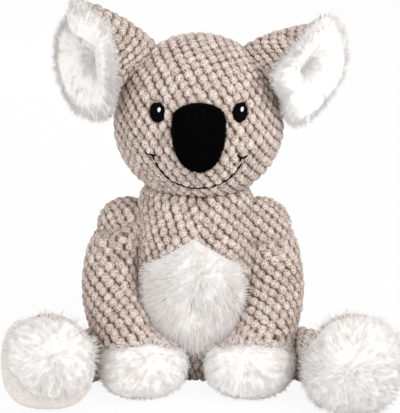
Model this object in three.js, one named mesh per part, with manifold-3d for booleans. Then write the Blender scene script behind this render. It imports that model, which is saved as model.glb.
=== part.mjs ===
// A sitting plush koala: bobble-fabric panels over stuffing, long white pile on the ears, belly, paws and
// feet, a stuffed nose and embroidered eyes and mouth. Sizes are millimetres. X runs to the koala's left,
// Y to its back and Z up, from the point of the ground under the middle of its seat.
import * as THREE from "three";
import { mergeVertices } from "three/addons/utils/BufferGeometryUtils.js";
import Module from "manifold-3d";

const wasm = await Module();
wasm.setup();

// Cloth and clearances
const fabricWall = 3.2; // bobble fabric with its backing
const sewnGap = 0.3; // between two pieces that are sewn or pressed together
const seatSink = 0.5; // how deep the ground presses each resting form flat
const panelSeam = 6; // the seam between front and back panels, behind the middle
const cutOverrun = 40; // how far a cutting block runs past what it cuts

// Torso: an upright stuffed sack
const torsoHalfWidth = 43;
const torsoHalfDepth = 42;
const torsoHeight = 140; // to the rim under the head
const bellyForward = 3; // how far the lower half leans forward

// Head: nearly a ball, fuller at the cheeks, resting in the hollow top of the torso
const headHalfWidth = 60;
const headHalfDepth = 56;
const crownHeight = 65; // above the cheeks
const chinDepth = 54; // below the cheeks
const headShift = 2; // how far it sits to the koala's left
const neckSink = 9; // how far the chin sits below the torso's rim
const neckCrease = 5; // room in the crease between head and torso, for the nod
const neckBallRadius = 22;
const neckBallLift = 6; // centre of the neck above the chin
const neckPlay = 0.7; // round the neck, which turns in the torso and nods in the head

// Nose: a stuffed, egg-shaped pad
const noseHalfWidth = 18.5;
const noseHalfHeight = 24.5;
const noseStandOff = 12; // how far it stands out from the face
const noseLift = 2.5; // its middle above the cheeks
const noseWall = 1.4;

// Embroidery
const eyeHalfWidth = 5.3;
const eyeHalfHeight = 7.2;
const eyeThickness = 1.1;
const eyeOut = 28.6;
const eyeLift = 18.5; // above the cheeks
const glintHalfWidth = 2;
const glintHalfHeight = 2.7;
const glintThickness = 1.3; // above the eye
const glintOut = 1.3; // to the koala's left of each eye's middle
const glintLift = 2.2;
const threadRadius = 0.55;
const mouthHalfWidth = 29.5;
const mouthRise = 19; // from its lowest point to its corners
const mouthDrop = 37; // its lowest point below the cheeks
const mouthTick = 3.4; // half the length of the small stitch at each corner
const stitchPitch = 5; // along the closing seam at the back
const stitchHalfWidth = 2;
const stitchCount = 10;

// Ears: cups of fabric lined with long pile, on a small rolled root
const earRootRadius = 9;
const earDepth = 29; // from the root's centre to the rim's plane
const earRimRadius = 34;
const earWall = 2.6;
const earPile = 8;
const earPileOverRim = 7;

// Arms: they hang from the shoulders and end in broad paws on the ground in front of the belly
const shoulderRadius = 19;
const shoulderDropShare = 1.5; // how far a shoulder lies below the torso's rim, as a share of its radius
const armRadius = 19.5;
const armShift = -1.5; // how far both arms hang to the koala's left
const pawHalfWidth = 33;
const pawHalfDepth = 26;
const pawHalfHeight = 24;
const pawOut = 38;
const pawForward = 60;
const pawPile = 7; // the pile and its backing

// Legs: they lie on the ground, splayed, and end in upright round feet
const legRadius = 18;
const footHalfWidth = 33;
const footHalfHeight = 35;
const footOut = 106;
const footShift = 3; // how far both feet lie to the koala's left
const footForward = 80;
const footPile = 7;
const sleeveRecess = 3; // how far a sleeve lies below the pile beside it

// Belly patch
const bellyHalfWidth = 38;
const bellyHalfHeight = 44;
const bellyMiddle = 68; // above the ground
const bellyPile = 7;

// Places that follow from the sizes
const headCentre = new THREE.Vector3(headShift, 0, torsoHeight - neckSink + chinDepth);
const neckCentre = new THREE.Vector3(headShift, 0, headCentre.z - chinDepth + neckBallLift);
const sideSeam = torsoHalfWidth + sewnGap; // the plane that the limbs are sewn on
const reach = footOut + footShift + footHalfWidth + cutOverrun; // past every side of the koala
const top = headCentre.z + crownHeight + earRimRadius + cutOverrun;

// Numbers of facets
const ballSides = 20;
const ballRings = 14;
const neckSides = 14;
const neckRings = 10;
const endSides = 12;
const endRings = 8;
const limbSides = 12;
const limbSteps = 8;

// Materials
const cloth = (color, roughness) => new THREE.MeshStandardMaterial({ color, roughness, metalness: 0 });
const bobbleFabric = cloth(0xc3b1a6, 0.95);
const whitePile = cloth(0xf4efec, 0.9);
const blackPlush = cloth(0x0a0a0a, 0.85);
const blackThread = cloth(0x101010, 0.6);
const whiteThread = cloth(0xf6f6f6, 0.6);
const stuffingFibre = cloth(0xf2f2ee, 1);

// A closed geometry as a solid that can be joined and cut
const mergeTolerance = 1e-4;

function solidOf(geometry, matrix = new THREE.Matrix4()) {
  const bare = new THREE.BufferGeometry().setAttribute("position", geometry.getAttribute("position").clone());
  if (geometry.index) bare.setIndex(geometry.index);
  const merged = mergeVertices(bare.applyMatrix4(matrix), mergeTolerance);
  return new wasm.Manifold(
    new wasm.Mesh({
      numProp: 3,
      vertProperties: merged.attributes.position.array,
      triVerts: new Uint32Array(merged.index.array),
    }),
  );
}

function geometryOf(solid) {
  const { vertProperties, triVerts } = solid.getMesh();
  const geometry = new THREE.BufferGeometry();
  geometry.setAttribute("position", new THREE.BufferAttribute(vertProperties, 3));
  geometry.setIndex(new THREE.BufferAttribute(triVerts, 1));
  geometry.computeVertexNormals();
  return geometry;
}

const joined = (...solids) => solids.reduce((all, next) => all.add(next));
const without = (solid, ...cutters) => cutters.reduce((left, cutter) => left.subtract(cutter), solid);
const mirrored = (point, side) => new THREE.Vector3(side * point.x, point.y, point.z);

// An ellipsoid whose lower half may be shallower than its upper half
function ellipsoid({ centre, halfX, halfY, up, down = up, sides = endSides, rings = endRings }) {
  const ball = new THREE.SphereGeometry(1, sides, rings).rotateX(Math.PI / 2);
  const place = ball.getAttribute("position");
  for (let point = 0; point < place.count; point++) {
    const height = place.getZ(point);
    place.setXYZ(
      point,
      centre.x + place.getX(point) * halfX,
      centre.y + place.getY(point) * halfY,
      centre.z + height * (height > 0 ? up : down),
    );
  }
  return solidOf(ball);
}

// A block between two corners
function block(low, high) {
  const size = new THREE.Vector3().subVectors(high, low);
  const middle = new THREE.Vector3().addVectors(low, high).multiplyScalar(0.5);
  return solidOf(new THREE.BoxGeometry(size.x, size.y, size.z).translate(middle.x, middle.y, middle.z));
}

const above = (height) => block(new THREE.Vector3(-reach, -reach, height), new THREE.Vector3(reach, reach, top));
const behind = (depth) => block(new THREE.Vector3(-reach, depth, -reach), new THREE.Vector3(reach, reach, top));
const before = (depth) => block(new THREE.Vector3(-reach, -reach, -reach), new THREE.Vector3(reach, depth, top));

// A smooth value along a table of shares
function along(values, share) {
  const points = values.map((value) => new THREE.Vector2(value, 0));
  return new THREE.SplineCurve(points).getPoint(share).x;
}

// A swelling, tapering form round a curve. Its rings stand square to the curve, their depth towards upright.
function sweptForm({ curve, halfWidths, halfDepths, upright, sides, steps, square = 2 }) {
  const positions = [];
  const index = [];
  const rounded = (value) => Math.sign(value) * Math.abs(value) ** (2 / square);
  for (let step = 0; step <= steps; step++) {
    const share = step / steps;
    const centre = curve.getPoint(share);
    const tangent = curve.getTangent(share);
    const depthWay = upright.clone().addScaledVector(tangent, -upright.dot(tangent)).normalize();
    const widthWay = new THREE.Vector3().crossVectors(depthWay, tangent);
    for (let side = 0; side < sides; side++) {
      const turn = (side / sides) * 2 * Math.PI;
      const point = centre
        .clone()
        .addScaledVector(widthWay, rounded(Math.cos(turn)) * along(halfWidths, share))
        .addScaledVector(depthWay, rounded(Math.sin(turn)) * along(halfDepths, share));
      positions.push(point.x, point.y, point.z);
    }
  }
  for (let step = 0; step < steps; step++)
    for (let side = 0; side < sides; side++) {
      const here = step * sides + side;
      const next = step * sides + ((side + 1) % sides);
      index.push(here, next, next + sides, here, next + sides, here + sides);
    }
  const ends = [curve.getPoint(0), curve.getPoint(1)];
  ends.forEach((end) => positions.push(end.x, end.y, end.z));
  const startPole = (steps + 1) * sides;
  for (let side = 0; side < sides; side++) {
    const next = (side + 1) % sides;
    index.push(startPole, next, side);
    index.push(startPole + 1, steps * sides + side, steps * sides + next);
  }
  const geometry = new THREE.BufferGeometry();
  geometry.setAttribute("position", new THREE.Float32BufferAttribute(positions, 3));
  geometry.setIndex(index);
  return solidOf(geometry);
}

// Torso. The shares run from under the seat to the neck.
const torsoWidthShares = [0.74, 0.91, 0.985, 1, 1, 1, 0.995, 0.98, 0.93, 0.82];
const torsoDepthShares = [0.74, 0.93, 1.02, 1.05, 1.04, 1, 0.96, 0.94, 0.92, 0.82];
const torsoLeanShares = [0.6, 0.9, 1, 1, 0.8, 0.5, 0.2, 0, 0, 0];
const torsoSquare = 2.3; // a little boxier than an ellipse
const torsoUnderhang = 3;
const torsoOverhang = 10; // above the rim, before the head's hollow is cut
const torsoSpan = torsoUnderhang + torsoHeight + torsoOverhang;
const torsoSides = 20;
const torsoSteps = 9;
const torsoFrontReach = Math.max(...torsoDepthShares) * torsoHalfDepth + bellyForward;

const torsoCurve = new THREE.CatmullRomCurve3(
  torsoLeanShares.map((lean, place) => {
    const share = place / (torsoLeanShares.length - 1);
    return new THREE.Vector3(0, -lean * bellyForward, share * torsoSpan - torsoUnderhang);
  }),
);

function torsoForm(inset) {
  const sack = sweptForm({
    curve: torsoCurve,
    halfWidths: torsoWidthShares.map((share) => share * torsoHalfWidth - inset),
    halfDepths: torsoDepthShares.map((share) => share * torsoHalfDepth - inset),
    upright: new THREE.Vector3(0, 1, 0),
    sides: torsoSides,
    steps: torsoSteps,
    square: torsoSquare,
  });
  return without(sack, headForm(-neckCrease - inset)).intersect(above(inset));
}

const headForm = (inset) =>
  ellipsoid({
    centre: headCentre,
    halfX: headHalfWidth - inset,
    halfY: headHalfDepth - inset,
    up: crownHeight - inset,
    down: chinDepth - inset,
    sides: ballSides,
    rings: ballRings,
  });

const neckBall = (growth) =>
  ellipsoid({
    centre: neckCentre,
    halfX: neckBallRadius + growth,
    halfY: neckBallRadius + growth,
    up: neckBallRadius + growth,
    sides: neckSides,
    rings: neckRings,
  });

// The upright hole that the neck passes through
function neckHole() {
  const radius = neckBallRadius + neckPlay;
  const hole = new THREE.CylinderGeometry(radius, radius, 2 * neckBallRadius, ballSides).rotateX(Math.PI / 2);
  return solidOf(hole.translate(neckCentre.x, neckCentre.y, neckCentre.z));
}

// The belly patch's outline, broad at the top, right through the front
const bellySquare = 2.7;
const bellyNarrowing = 0.12; // how much narrower it is at the top than at its middle
const bellyPoints = 26;

function bellyOutline(growth) {
  const rounded = (value) => Math.sign(value) * Math.abs(value) ** (2 / bellySquare);
  const outline = Array.from({ length: bellyPoints }, (_, place) => {
    const turn = (place / bellyPoints) * 2 * Math.PI;
    const up = rounded(Math.sin(turn));
    const out = rounded(Math.cos(turn)) * (1 - bellyNarrowing * Math.max(up, 0));
    return new THREE.Vector2(out * (bellyHalfWidth + growth), up * (bellyHalfHeight + growth));
  });
  const pillar = new THREE.ExtrudeGeometry(new THREE.Shape(outline), { depth: reach, bevelEnabled: false });
  return solidOf(pillar.rotateX(Math.PI / 2).translate(0, 0, bellyMiddle));
}

const bellySpace = (growth) => torsoForm(-bellyPile - growth).intersect(bellyOutline(growth));

const torsoShell = without(torsoForm(0), torsoForm(fabricWall), neckHole());
const torsoFront = without(torsoShell.intersect(before(panelSeam - sewnGap / 2)), bellyOutline(sewnGap));
const torsoBack = torsoShell.intersect(behind(panelSeam + sewnGap / 2));
const torsoStuffing = without(torsoForm(fabricWall + sewnGap), neckBall(neckPlay));
const bellyFur = without(bellySpace(0), torsoForm(fabricWall), neckHole());

const headShell = without(headForm(0), headForm(fabricWall), neckHole());
const headFront = headShell.intersect(before(panelSeam - sewnGap / 2));
const headBack = headShell.intersect(behind(panelSeam + sewnGap / 2));
const headStuffing = without(headForm(fabricWall + sewnGap), neckBall(neckPlay));

// A point of the face, out and up from the middle of the cheeks
function onFace(out, up, standOff) {
  const halfHeight = (up > 0 ? crownHeight : chinDepth) + standOff;
  const left = 1 - (out / (headHalfWidth + standOff)) ** 2 - (up / halfHeight) ** 2;
  const forward = (headHalfDepth + standOff) * Math.sqrt(Math.max(left, 0));
  return new THREE.Vector3(out, -forward, up).add(headCentre);
}

function headNormal(point) {
  const from = new THREE.Vector3().subVectors(point, headCentre);
  const halfHeight = from.z > 0 ? crownHeight : chinDepth;
  const squares = new THREE.Vector3(headHalfWidth, headHalfDepth, halfHeight).multiply(
    new THREE.Vector3(headHalfWidth, headHalfDepth, halfHeight),
  );
  return from.divide(squares).normalize();
}

// Nose. The shares run from its top to its bottom.
const noseWidthShares = [0.42, 0.86, 0.98, 1, 0.98, 0.92, 0.81, 0.62, 0.28];
const noseSides = 14;
const noseSteps = 8;

function noseForm(inset) {
  const half = noseHalfHeight - inset;
  const middle = onFace(0, noseLift, 0);
  return sweptForm({
    curve: new THREE.LineCurve3(
      middle.clone().setZ(middle.z + half),
      middle.clone().setZ(middle.z - half),
    ),
    halfWidths: noseWidthShares.map((share) => share * (noseHalfWidth - inset)),
    halfDepths: noseWidthShares.map((share) => share * (noseStandOff - inset)),
    upright: new THREE.Vector3(0, 1, 0),
    sides: noseSides,
    steps: noseSteps,
  });
}

const noseCover = without(noseForm(0), headForm(-sewnGap), noseForm(noseWall));
const noseStuffing = without(noseForm(noseWall + sewnGap), headForm(-sewnGap));

// An embroidered oval on the face
function faceOval({ out, up, halfWidth, halfHeight, thickness, standOff }, growth = 0) {
  const centre = onFace(out, up, 0);
  const turned = new THREE.Quaternion().setFromUnitVectors(new THREE.Vector3(0, -1, 0), headNormal(centre));
  const size = new THREE.Vector3(halfWidth, thickness, halfHeight).addScalar(growth);
  const oval = new THREE.SphereGeometry(1, endSides, endRings);
  return without(solidOf(oval, new THREE.Matrix4().compose(centre, turned, size)), headForm(-standOff));
}

const eye = (side) => ({
  out: side * eyeOut,
  up: eyeLift,
  halfWidth: eyeHalfWidth,
  halfHeight: eyeHalfHeight,
  thickness: eyeThickness + sewnGap,
  standOff: sewnGap,
});
const glint = (side) => ({
  out: side * eyeOut + glintOut,
  up: eyeLift + glintLift,
  halfWidth: glintHalfWidth,
  halfHeight: glintHalfHeight,
  thickness: eyeThickness + glintThickness,
  standOff: eyeThickness,
});

// A thread along a curve
const threadSides = 3; // in half a turn

function thread(points, steps) {
  const section = new THREE.Shape().absarc(0, 0, threadRadius, 0, 2 * Math.PI);
  const extrudePath = new THREE.CatmullRomCurve3(points);
  const settings = { steps, extrudePath, curveSegments: threadSides, bevelEnabled: false };
  return solidOf(new THREE.ExtrudeGeometry(section, settings));
}

// Mouth: an arc of a circle over the chin, with a small stitch across each corner
const tickSteps = 1;
const mouthRadius = (mouthHalfWidth ** 2 + mouthRise ** 2) / (2 * mouthRise);
const mouthSpread = Math.asin(mouthHalfWidth / mouthRadius);
const mouthPoints = 14;
const threadStandOff = threadRadius + sewnGap;

function mouthPoint(share) {
  const turn = mouthSpread * (2 * share - 1);
  return [mouthRadius * Math.sin(turn), mouthRadius * (1 - Math.cos(turn)) - mouthDrop];
}

function mouthCorner(side) {
  const [out, up] = mouthPoint((1 + side) / 2);
  const low = onFace(out, up, threadStandOff);
  const high = onFace(out, up + mouthTick / 2, threadStandOff);
  const inner = onFace(out - mouthTick, up + mouthTick / 2, threadStandOff);
  const outer = onFace(out + mouthTick, up + mouthTick / 2, threadStandOff);
  return joined(thread([low, high], tickSteps), thread([inner, outer], tickSteps));
}

const mouthArc = thread(
  Array.from({ length: mouthPoints + 1 }, (_, place) => onFace(...mouthPoint(place / mouthPoints), threadStandOff)),
  mouthPoints,
);
const mouthThread = joined(mouthArc, mouthCorner(1), mouthCorner(-1));

// Closing seam: a zigzag of thread up the middle of the back
function torsoBackAt(height) {
  const share = (height + torsoUnderhang) / torsoSpan;
  return torsoCurve.getPoint(share).y + along(torsoDepthShares, share) * torsoHalfDepth;
}

const seamLow = (torsoHeight - stitchCount * stitchPitch) / 2;
const closingStitch = thread(
  Array.from({ length: stitchCount + 1 }, (_, stitch) => {
    const height = seamLow + stitch * stitchPitch;
    const side = stitch % 2 ? 1 : -1;
    return new THREE.Vector3(side * stitchHalfWidth, torsoBackAt(height) + threadStandOff, height);
  }),
  2 * stitchCount,
);

// The space beside the torso, and before it, that the limbs keep to
function limbSpace(side, inset) {
  const plane = side * (sideSeam + inset);
  const low = new THREE.Vector3(Math.min(plane, -side * reach), -torsoFrontReach - inset, -reach);
  const high = new THREE.Vector3(Math.max(plane, -side * reach), reach, top);
  return without(above(inset), block(low, high), bellySpace(sewnGap + inset));
}

// A limb of fabric round a curve, whose fuller end is part sleeve and part pile
function limbPieces({ limb, end, space, pileSide, pile }) {
  const skin = (inset) => joined(limb(inset), end(sleeveRecess + inset)).intersect(space(inset));
  const core = fabricWall + sewnGap;
  const endCore = end(Math.max(pile, sleeveRecess + fabricWall) + sewnGap);
  return {
    sleeve: without(skin(0), skin(fabricWall), pileSide(sewnGap)),
    stuffing: joined(without(limb(core), pileSide(sewnGap)), endCore).intersect(space(core)),
    fur: without(end(0).intersect(pileSide(0)).intersect(space(0)), end(pile)),
  };
}

// A half of space, from a place a little way behind a point, moved further back by growth
function halfSpace(point, facing, back, growth) {
  const turned = new THREE.Quaternion().setFromUnitVectors(new THREE.Vector3(0, 0, 1), facing);
  const middle = point.clone().addScaledVector(facing, reach / 2 - back - growth);
  const matrix = new THREE.Matrix4().compose(middle, turned, new THREE.Vector3(1, 1, 1));
  return solidOf(new THREE.BoxGeometry(reach, reach, reach), matrix);
}

function limbForm({ points, radii, upright, inset }) {
  const insetRadii = radii.map((radius) => radius - inset);
  return sweptForm({
    curve: new THREE.CatmullRomCurve3(points),
    halfWidths: insetRadii,
    halfDepths: insetRadii,
    upright,
    sides: limbSides,
    steps: limbSteps,
  });
}

// Legs
const hip = new THREE.Vector3(sideSeam, -bellyForward, legRadius - seatSink);
const foot = (side) => new THREE.Vector3(side * footOut + footShift, -footForward, footHalfHeight - seatSink);
const footFacing = new THREE.Vector3(0.42, -0.8, -0.42).normalize(); // the left sole's outward direction
const footBackShare = 0.3; // how far behind the foot's middle its pile begins, as a share of its half width
const legOutShares = [-0.14, 0.22, 0.53, 0.78, 1];
const legForwardShares = [0, 0.06, 0.33, 0.66, 1];
const legHeightShares = [0, 0, 0.1, 0.4, 0.8];
const legRadiusShares = [1, 1, 1.02, 1.04, 1];

function legForm(side, inset) {
  const from = mirrored(hip, side);
  const span = foot(side).sub(from);
  const points = legOutShares.map((out, place) =>
    new THREE.Vector3(out, legForwardShares[place], legHeightShares[place]).multiply(span).add(from),
  );
  const radii = legRadiusShares.map((share) => share * legRadius);
  return limbForm({ points, radii, upright: new THREE.Vector3(0, 0, 1), inset });
}

const footForm = (side, inset) =>
  ellipsoid({
    centre: foot(side),
    halfX: footHalfWidth - inset,
    halfY: footHalfWidth - inset,
    up: footHalfHeight - inset,
  });

const legPieces = (side) =>
  limbPieces({
    limb: (inset) => legForm(side, inset),
    end: (inset) => footForm(side, inset),
    space: (inset) => limbSpace(side, inset),
    pileSide: (growth) =>
      halfSpace(foot(side), mirrored(footFacing, side), footBackShare * footHalfWidth, growth),
    pile: footPile,
  });

// Arms
const shoulder = (side) =>
  new THREE.Vector3(
    side * (torsoHalfWidth + shoulderRadius / 2) + armShift,
    0,
    torsoHeight - shoulderDropShare * shoulderRadius,
  );
const paw = (side) => new THREE.Vector3(side * pawOut, -pawForward, pawHalfHeight - seatSink);
const pawFacing = new THREE.Vector3(0, -0.6, -0.8); // the pile's outward direction
const pawBackShare = 0.1; // how far behind the paw's middle its pile begins, as a share of its half height
const armOutShares = [0, -0.42, -0.56, -0.1, 0.4, 0.8];
const armForwardShares = [0, 0.1, 0.3, 0.62, 0.82, 0.93];
const armDownShares = [0, 0.26, 0.53, 0.73, 0.87, 0.97];
const armRadiusShares = [0.98, 1, 1.02, 1.03, 1, 0.9];

function armForm(side, inset) {
  const from = shoulder(side);
  const span = paw(side).sub(from);
  const points = armOutShares.map((out, place) =>
    new THREE.Vector3(out, armForwardShares[place], armDownShares[place]).multiply(span).add(from),
  );
  const radii = armRadiusShares.map((share) => share * armRadius);
  const radius = shoulderRadius - inset;
  const cap = ellipsoid({ centre: from, halfX: radius, halfY: radius, up: radius });
  return joined(limbForm({ points, radii, upright: new THREE.Vector3(1, 0, 0), inset }), cap);
}

const pawForm = (side, inset) =>
  ellipsoid({
    centre: paw(side),
    halfX: pawHalfWidth - inset,
    halfY: pawHalfDepth - inset,
    up: pawHalfHeight - inset,
  });

const armPieces = (side) =>
  limbPieces({
    limb: (inset) => armForm(side, inset),
    end: (inset) => pawForm(side, inset),
    space: (inset) =>
      without(limbSpace(side, inset), legForm(side, -sewnGap - inset), footForm(side, -sewnGap - inset)),
    pileSide: (growth) =>
      halfSpace(paw(side), pawFacing, pawBackShare * pawHalfHeight, growth),
    pile: pawPile,
  });

// Ears. A cup's profile in (radius, distance along the cup's axis from the root's centre)
const earSides = 18;
const earRadiusShares = [0.32, 0.45, 0.63, 0.83, 1];
const earDepthShares = [0.2, 0.34, 0.54, 0.77, 1];
const rootRollShares = [1, 0.92, 0.71, 0.38];
const wallSlantShare = 0.7; // of a thickness, each way, for a wall at a slant
const pileDishShare = 0.5; // how much of the cup's depth still shows in the pile

const rootRoll = rootRollShares.map(
  (down) => new THREE.Vector2(earRootRadius * Math.sqrt(1 - down ** 2), -earRootRadius * down),
);
const earOuter = earRadiusShares.map(
  (share, place) => new THREE.Vector2(share * earRimRadius, earDepthShares[place] * earDepth),
);
const earFloor = earOuter[0].y + earWall;

function movedIn(points, thickness) {
  const shift = new THREE.Vector2(-wallSlantShare * thickness, wallSlantShare * thickness);
  return points.map((point) => point.clone().add(shift));
}

function earBackProfile() {
  const inner = movedIn(earOuter.slice(1), earWall).reverse();
  return [...rootRoll, ...earOuter, ...inner, new THREE.Vector2(0, earFloor)];
}

function earFurProfile() {
  const under = movedIn(earOuter.slice(1), earWall + sewnGap);
  const rimRadius = earRimRadius + earPileOverRim;
  const rimLow = under[under.length - 1].y + sewnGap;
  const rim = [new THREE.Vector2(rimRadius, rimLow), new THREE.Vector2(rimRadius, rimLow + earPile / 2)];
  const front = earOuter.slice(1).map((point) => {
    const dish = pileDishShare * (earDepth - point.y);
    return new THREE.Vector2(point.x, rimLow + earPile - dish);
  });
  const bottom = earFloor + sewnGap;
  const middle = rimLow + earPile - pileDishShare * (earDepth - earFloor);
  return [new THREE.Vector2(0, bottom), ...under, ...rim, ...front.reverse(), new THREE.Vector2(0, middle)];
}

// Where each ear sits on the head, and where its cup faces: the koala's left, then its right
const earOutShare = 0.77;
const earLiftShare = 0.64;
const earFacing = {
  1: new THREE.Vector3(0.67, -0.72, -0.18).normalize(),
  [-1]: new THREE.Vector3(-0.7, -0.71, 0).normalize(),
};
const earFoldShare = { 1: 1, [-1]: 0.87 }; // each cup's width as a share of its height

function earRoot(side) {
  const radii = new THREE.Vector3(headHalfWidth, headHalfDepth, crownHeight);
  const onHead = new THREE.Vector3(side * earOutShare, 0, earLiftShare).normalize().multiply(radii);
  onHead.add(headCentre);
  return onHead.addScaledVector(headNormal(onHead), earRootRadius + sewnGap);
}

function earPieces(side) {
  const facing = earFacing[side];
  const up = new THREE.Vector3(0, 0, 1).addScaledVector(facing, -facing.z).normalize();
  const across = new THREE.Vector3().crossVectors(up, facing).multiplyScalar(earFoldShare[side]);
  const matrix = new THREE.Matrix4().makeBasis(across, up, facing).setPosition(earRoot(side));
  const cup = (profile) => solidOf(new THREE.LatheGeometry(profile, earSides).rotateX(Math.PI / 2), matrix);
  return { back: cup(earBackProfile()), fur: cup(earFurProfile()) };
}

// Assembly
const koala = new THREE.Group();

function place(name, solid, material) {
  const mesh = new THREE.Mesh(geometryOf(solid), material);
  mesh.name = name;
  koala.add(mesh);
}

place("torso_front", torsoFront, bobbleFabric);
place("torso_back", torsoBack, bobbleFabric);
place("torso_stuffing", torsoStuffing, stuffingFibre);
place("belly_fur", bellyFur, whitePile);
place("closing_stitch", closingStitch, blackThread);
place("neck_stuffing", neckBall(0), stuffingFibre);
place("head_front", headFront, bobbleFabric);
place("head_back", headBack, bobbleFabric);
place("head_stuffing", headStuffing, stuffingFibre);
place("nose_cover", noseCover, blackPlush);
place("nose_stuffing", noseStuffing, stuffingFibre);
place("mouth_thread", mouthThread, blackThread);

for (const [name, side] of [
  ["left", 1],
  ["right", -1],
]) {
  place(`eye_${name}`, faceOval(eye(side)), blackThread);
  place(`eye_glint_${name}`, without(faceOval(glint(side)), faceOval(eye(side), sewnGap)), whiteThread);
  const ear = earPieces(side);
  place(`ear_back_${name}`, ear.back, bobbleFabric);
  place(`ear_fur_${name}`, ear.fur, whitePile);
  const arm = armPieces(side);
  place(`arm_sleeve_${name}`, arm.sleeve, bobbleFabric);
  place(`arm_stuffing_${name}`, arm.stuffing, stuffingFibre);
  place(`paw_fur_${name}`, arm.fur, whitePile);
  const leg = legPieces(side);
  place(`leg_sleeve_${name}`, leg.sleeve, bobbleFabric);
  place(`leg_stuffing_${name}`, leg.stuffing, stuffingFibre);
  place(`foot_fur_${name}`, leg.fur, whitePile);
}

export default koala;
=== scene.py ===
"""A sitting plush koala: skins of bobble fabric over stuffing, long white pile made of separate strands, a
stuffed nose and embroidered eyes and mouth. The shapes are worked out in millimetres, X to the koala's left,
Y to its back and Z up, and become metres when they are made into meshes."""

import itertools
import math

import bpy
import numpy as np
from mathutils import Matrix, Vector


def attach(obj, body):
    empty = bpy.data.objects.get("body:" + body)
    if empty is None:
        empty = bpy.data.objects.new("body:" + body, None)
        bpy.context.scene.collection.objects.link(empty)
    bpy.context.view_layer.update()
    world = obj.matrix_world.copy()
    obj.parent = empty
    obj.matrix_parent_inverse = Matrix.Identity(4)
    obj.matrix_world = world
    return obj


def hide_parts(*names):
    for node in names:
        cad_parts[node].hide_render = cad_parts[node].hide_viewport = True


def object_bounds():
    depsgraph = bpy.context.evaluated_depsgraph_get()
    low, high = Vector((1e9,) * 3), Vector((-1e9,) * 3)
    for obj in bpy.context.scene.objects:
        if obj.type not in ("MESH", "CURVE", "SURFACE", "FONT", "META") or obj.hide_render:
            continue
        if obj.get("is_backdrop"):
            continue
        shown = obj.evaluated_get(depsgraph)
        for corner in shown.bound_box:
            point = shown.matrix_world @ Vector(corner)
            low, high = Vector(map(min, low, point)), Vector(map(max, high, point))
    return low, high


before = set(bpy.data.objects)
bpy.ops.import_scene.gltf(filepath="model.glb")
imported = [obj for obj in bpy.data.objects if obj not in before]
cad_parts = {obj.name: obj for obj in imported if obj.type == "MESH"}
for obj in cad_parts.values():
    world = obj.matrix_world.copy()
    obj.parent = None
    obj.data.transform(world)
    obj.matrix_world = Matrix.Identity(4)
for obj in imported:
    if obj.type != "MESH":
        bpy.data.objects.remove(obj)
cad_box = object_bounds()

metre = 0.001  # a millimetre in metres
chance = np.random.default_rng(7)

# Torso
torso_half_width = 43
torso_half_depth = 42
torso_height = 140
torso_underhang = 3
torso_overhang = 10
torso_span = torso_underhang + torso_height + torso_overhang
belly_forward = 3
torso_square = 2.3
torso_width_shares = [0.74, 0.91, 0.985, 1, 1, 1, 0.995, 0.985, 0.925, 0.72]
torso_depth_shares = [0.74, 0.93, 1.02, 1.05, 1.04, 1, 0.96, 0.94, 0.89, 0.74]
torso_lean_shares = [0.6, 0.9, 1, 1, 0.8, 0.5, 0.2, 0, 0, 0]
panel_seam = 6

# Head
head_half_width = 60
head_half_depth = 56
crown_height = 65
chin_depth = 54
head_centre = np.array([2.0, 0.0, 185.0])
neck_crease = 2.6

# Limbs
side_seam = 43.3
seat_sink = 0.5
shoulder_radius = 19
arm_radius = 19.5
arm_shift = -1.5
paw_half = np.array([33.0, 26.0, 24.0])
paw_out = 38
paw_forward = 60
paw_facing = np.array([0.0, -0.6, -0.8])
paw_back = 2.4
leg_radius = 18
foot_half = np.array([33.0, 33.0, 35.0])
foot_out = 106
foot_shift = 3
foot_forward = 80
foot_facing = np.array([0.42, -0.8, -0.42])
foot_back = 9.9
sleeve_recess = 3
arm_out_shares = [0, -0.42, -0.56, -0.1, 0.4, 0.8]
arm_forward_shares = [0, 0.1, 0.3, 0.62, 0.82, 0.93]
arm_down_shares = [0, 0.26, 0.53, 0.73, 0.87, 0.97]
arm_radius_shares = [0.84, 0.98, 1.02, 1.03, 1, 0.9]
leg_out_shares = [-0.14, 0.22, 0.53, 0.78, 1]
leg_forward_shares = [0, 0.06, 0.33, 0.66, 1]
leg_height_shares = [0, 0, 0.1, 0.4, 0.8]
leg_radius_shares = [1, 1, 1.02, 1.04, 1]

# How gently forms run into each other
limb_end_blend = 9
seat_rounding = 5
neck_rounding = 4
limb_rounding = 3
hip_rounding = 2

# Belly patch
belly_half_width = 36.5
belly_half_height = 42
belly_middle = 69
belly_aside = -1.5
belly_square = 2.7
belly_narrowing = 0.12

# Bobble fabric
bobble_pitch = 6.3  # along a row
row_pitch = 6.9
bobble_height = 2.7
skin_inset = 1.3  # the valleys between bobbles lie this far inside the form
skin_step = 0.75


def unit(vectors):
    length = np.linalg.norm(vectors, axis=-1, keepdims=True)
    return vectors / np.maximum(length, 1e-9)


def eased(share):
    share = np.clip(share, 0, 1)
    return share * share * (3 - 2 * share)


def scatter(column, row, salt):
    """A repeatable random number from 0 to 1 for each whole-number place."""
    wave = np.sin(column * 127.1 + row * 311.7 + salt * 74.7) * 43758.5453
    return wave - np.floor(wave)


def noise(points, size, salt=0):
    """Smooth noise from -1 to 1, with lumps of one size."""
    place = points / size
    cell = np.floor(place)
    part = eased(place - cell)
    total = np.zeros(len(points))
    for corner in itertools.product((0, 1), repeat=3):
        weight = np.prod(np.where(corner, part, 1 - part), axis=1)
        at = cell + corner
        total += weight * scatter(at[:, 0] + 37 * at[:, 2], at[:, 1] + 57 * at[:, 2], salt)
    return 2 * total - 1


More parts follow.
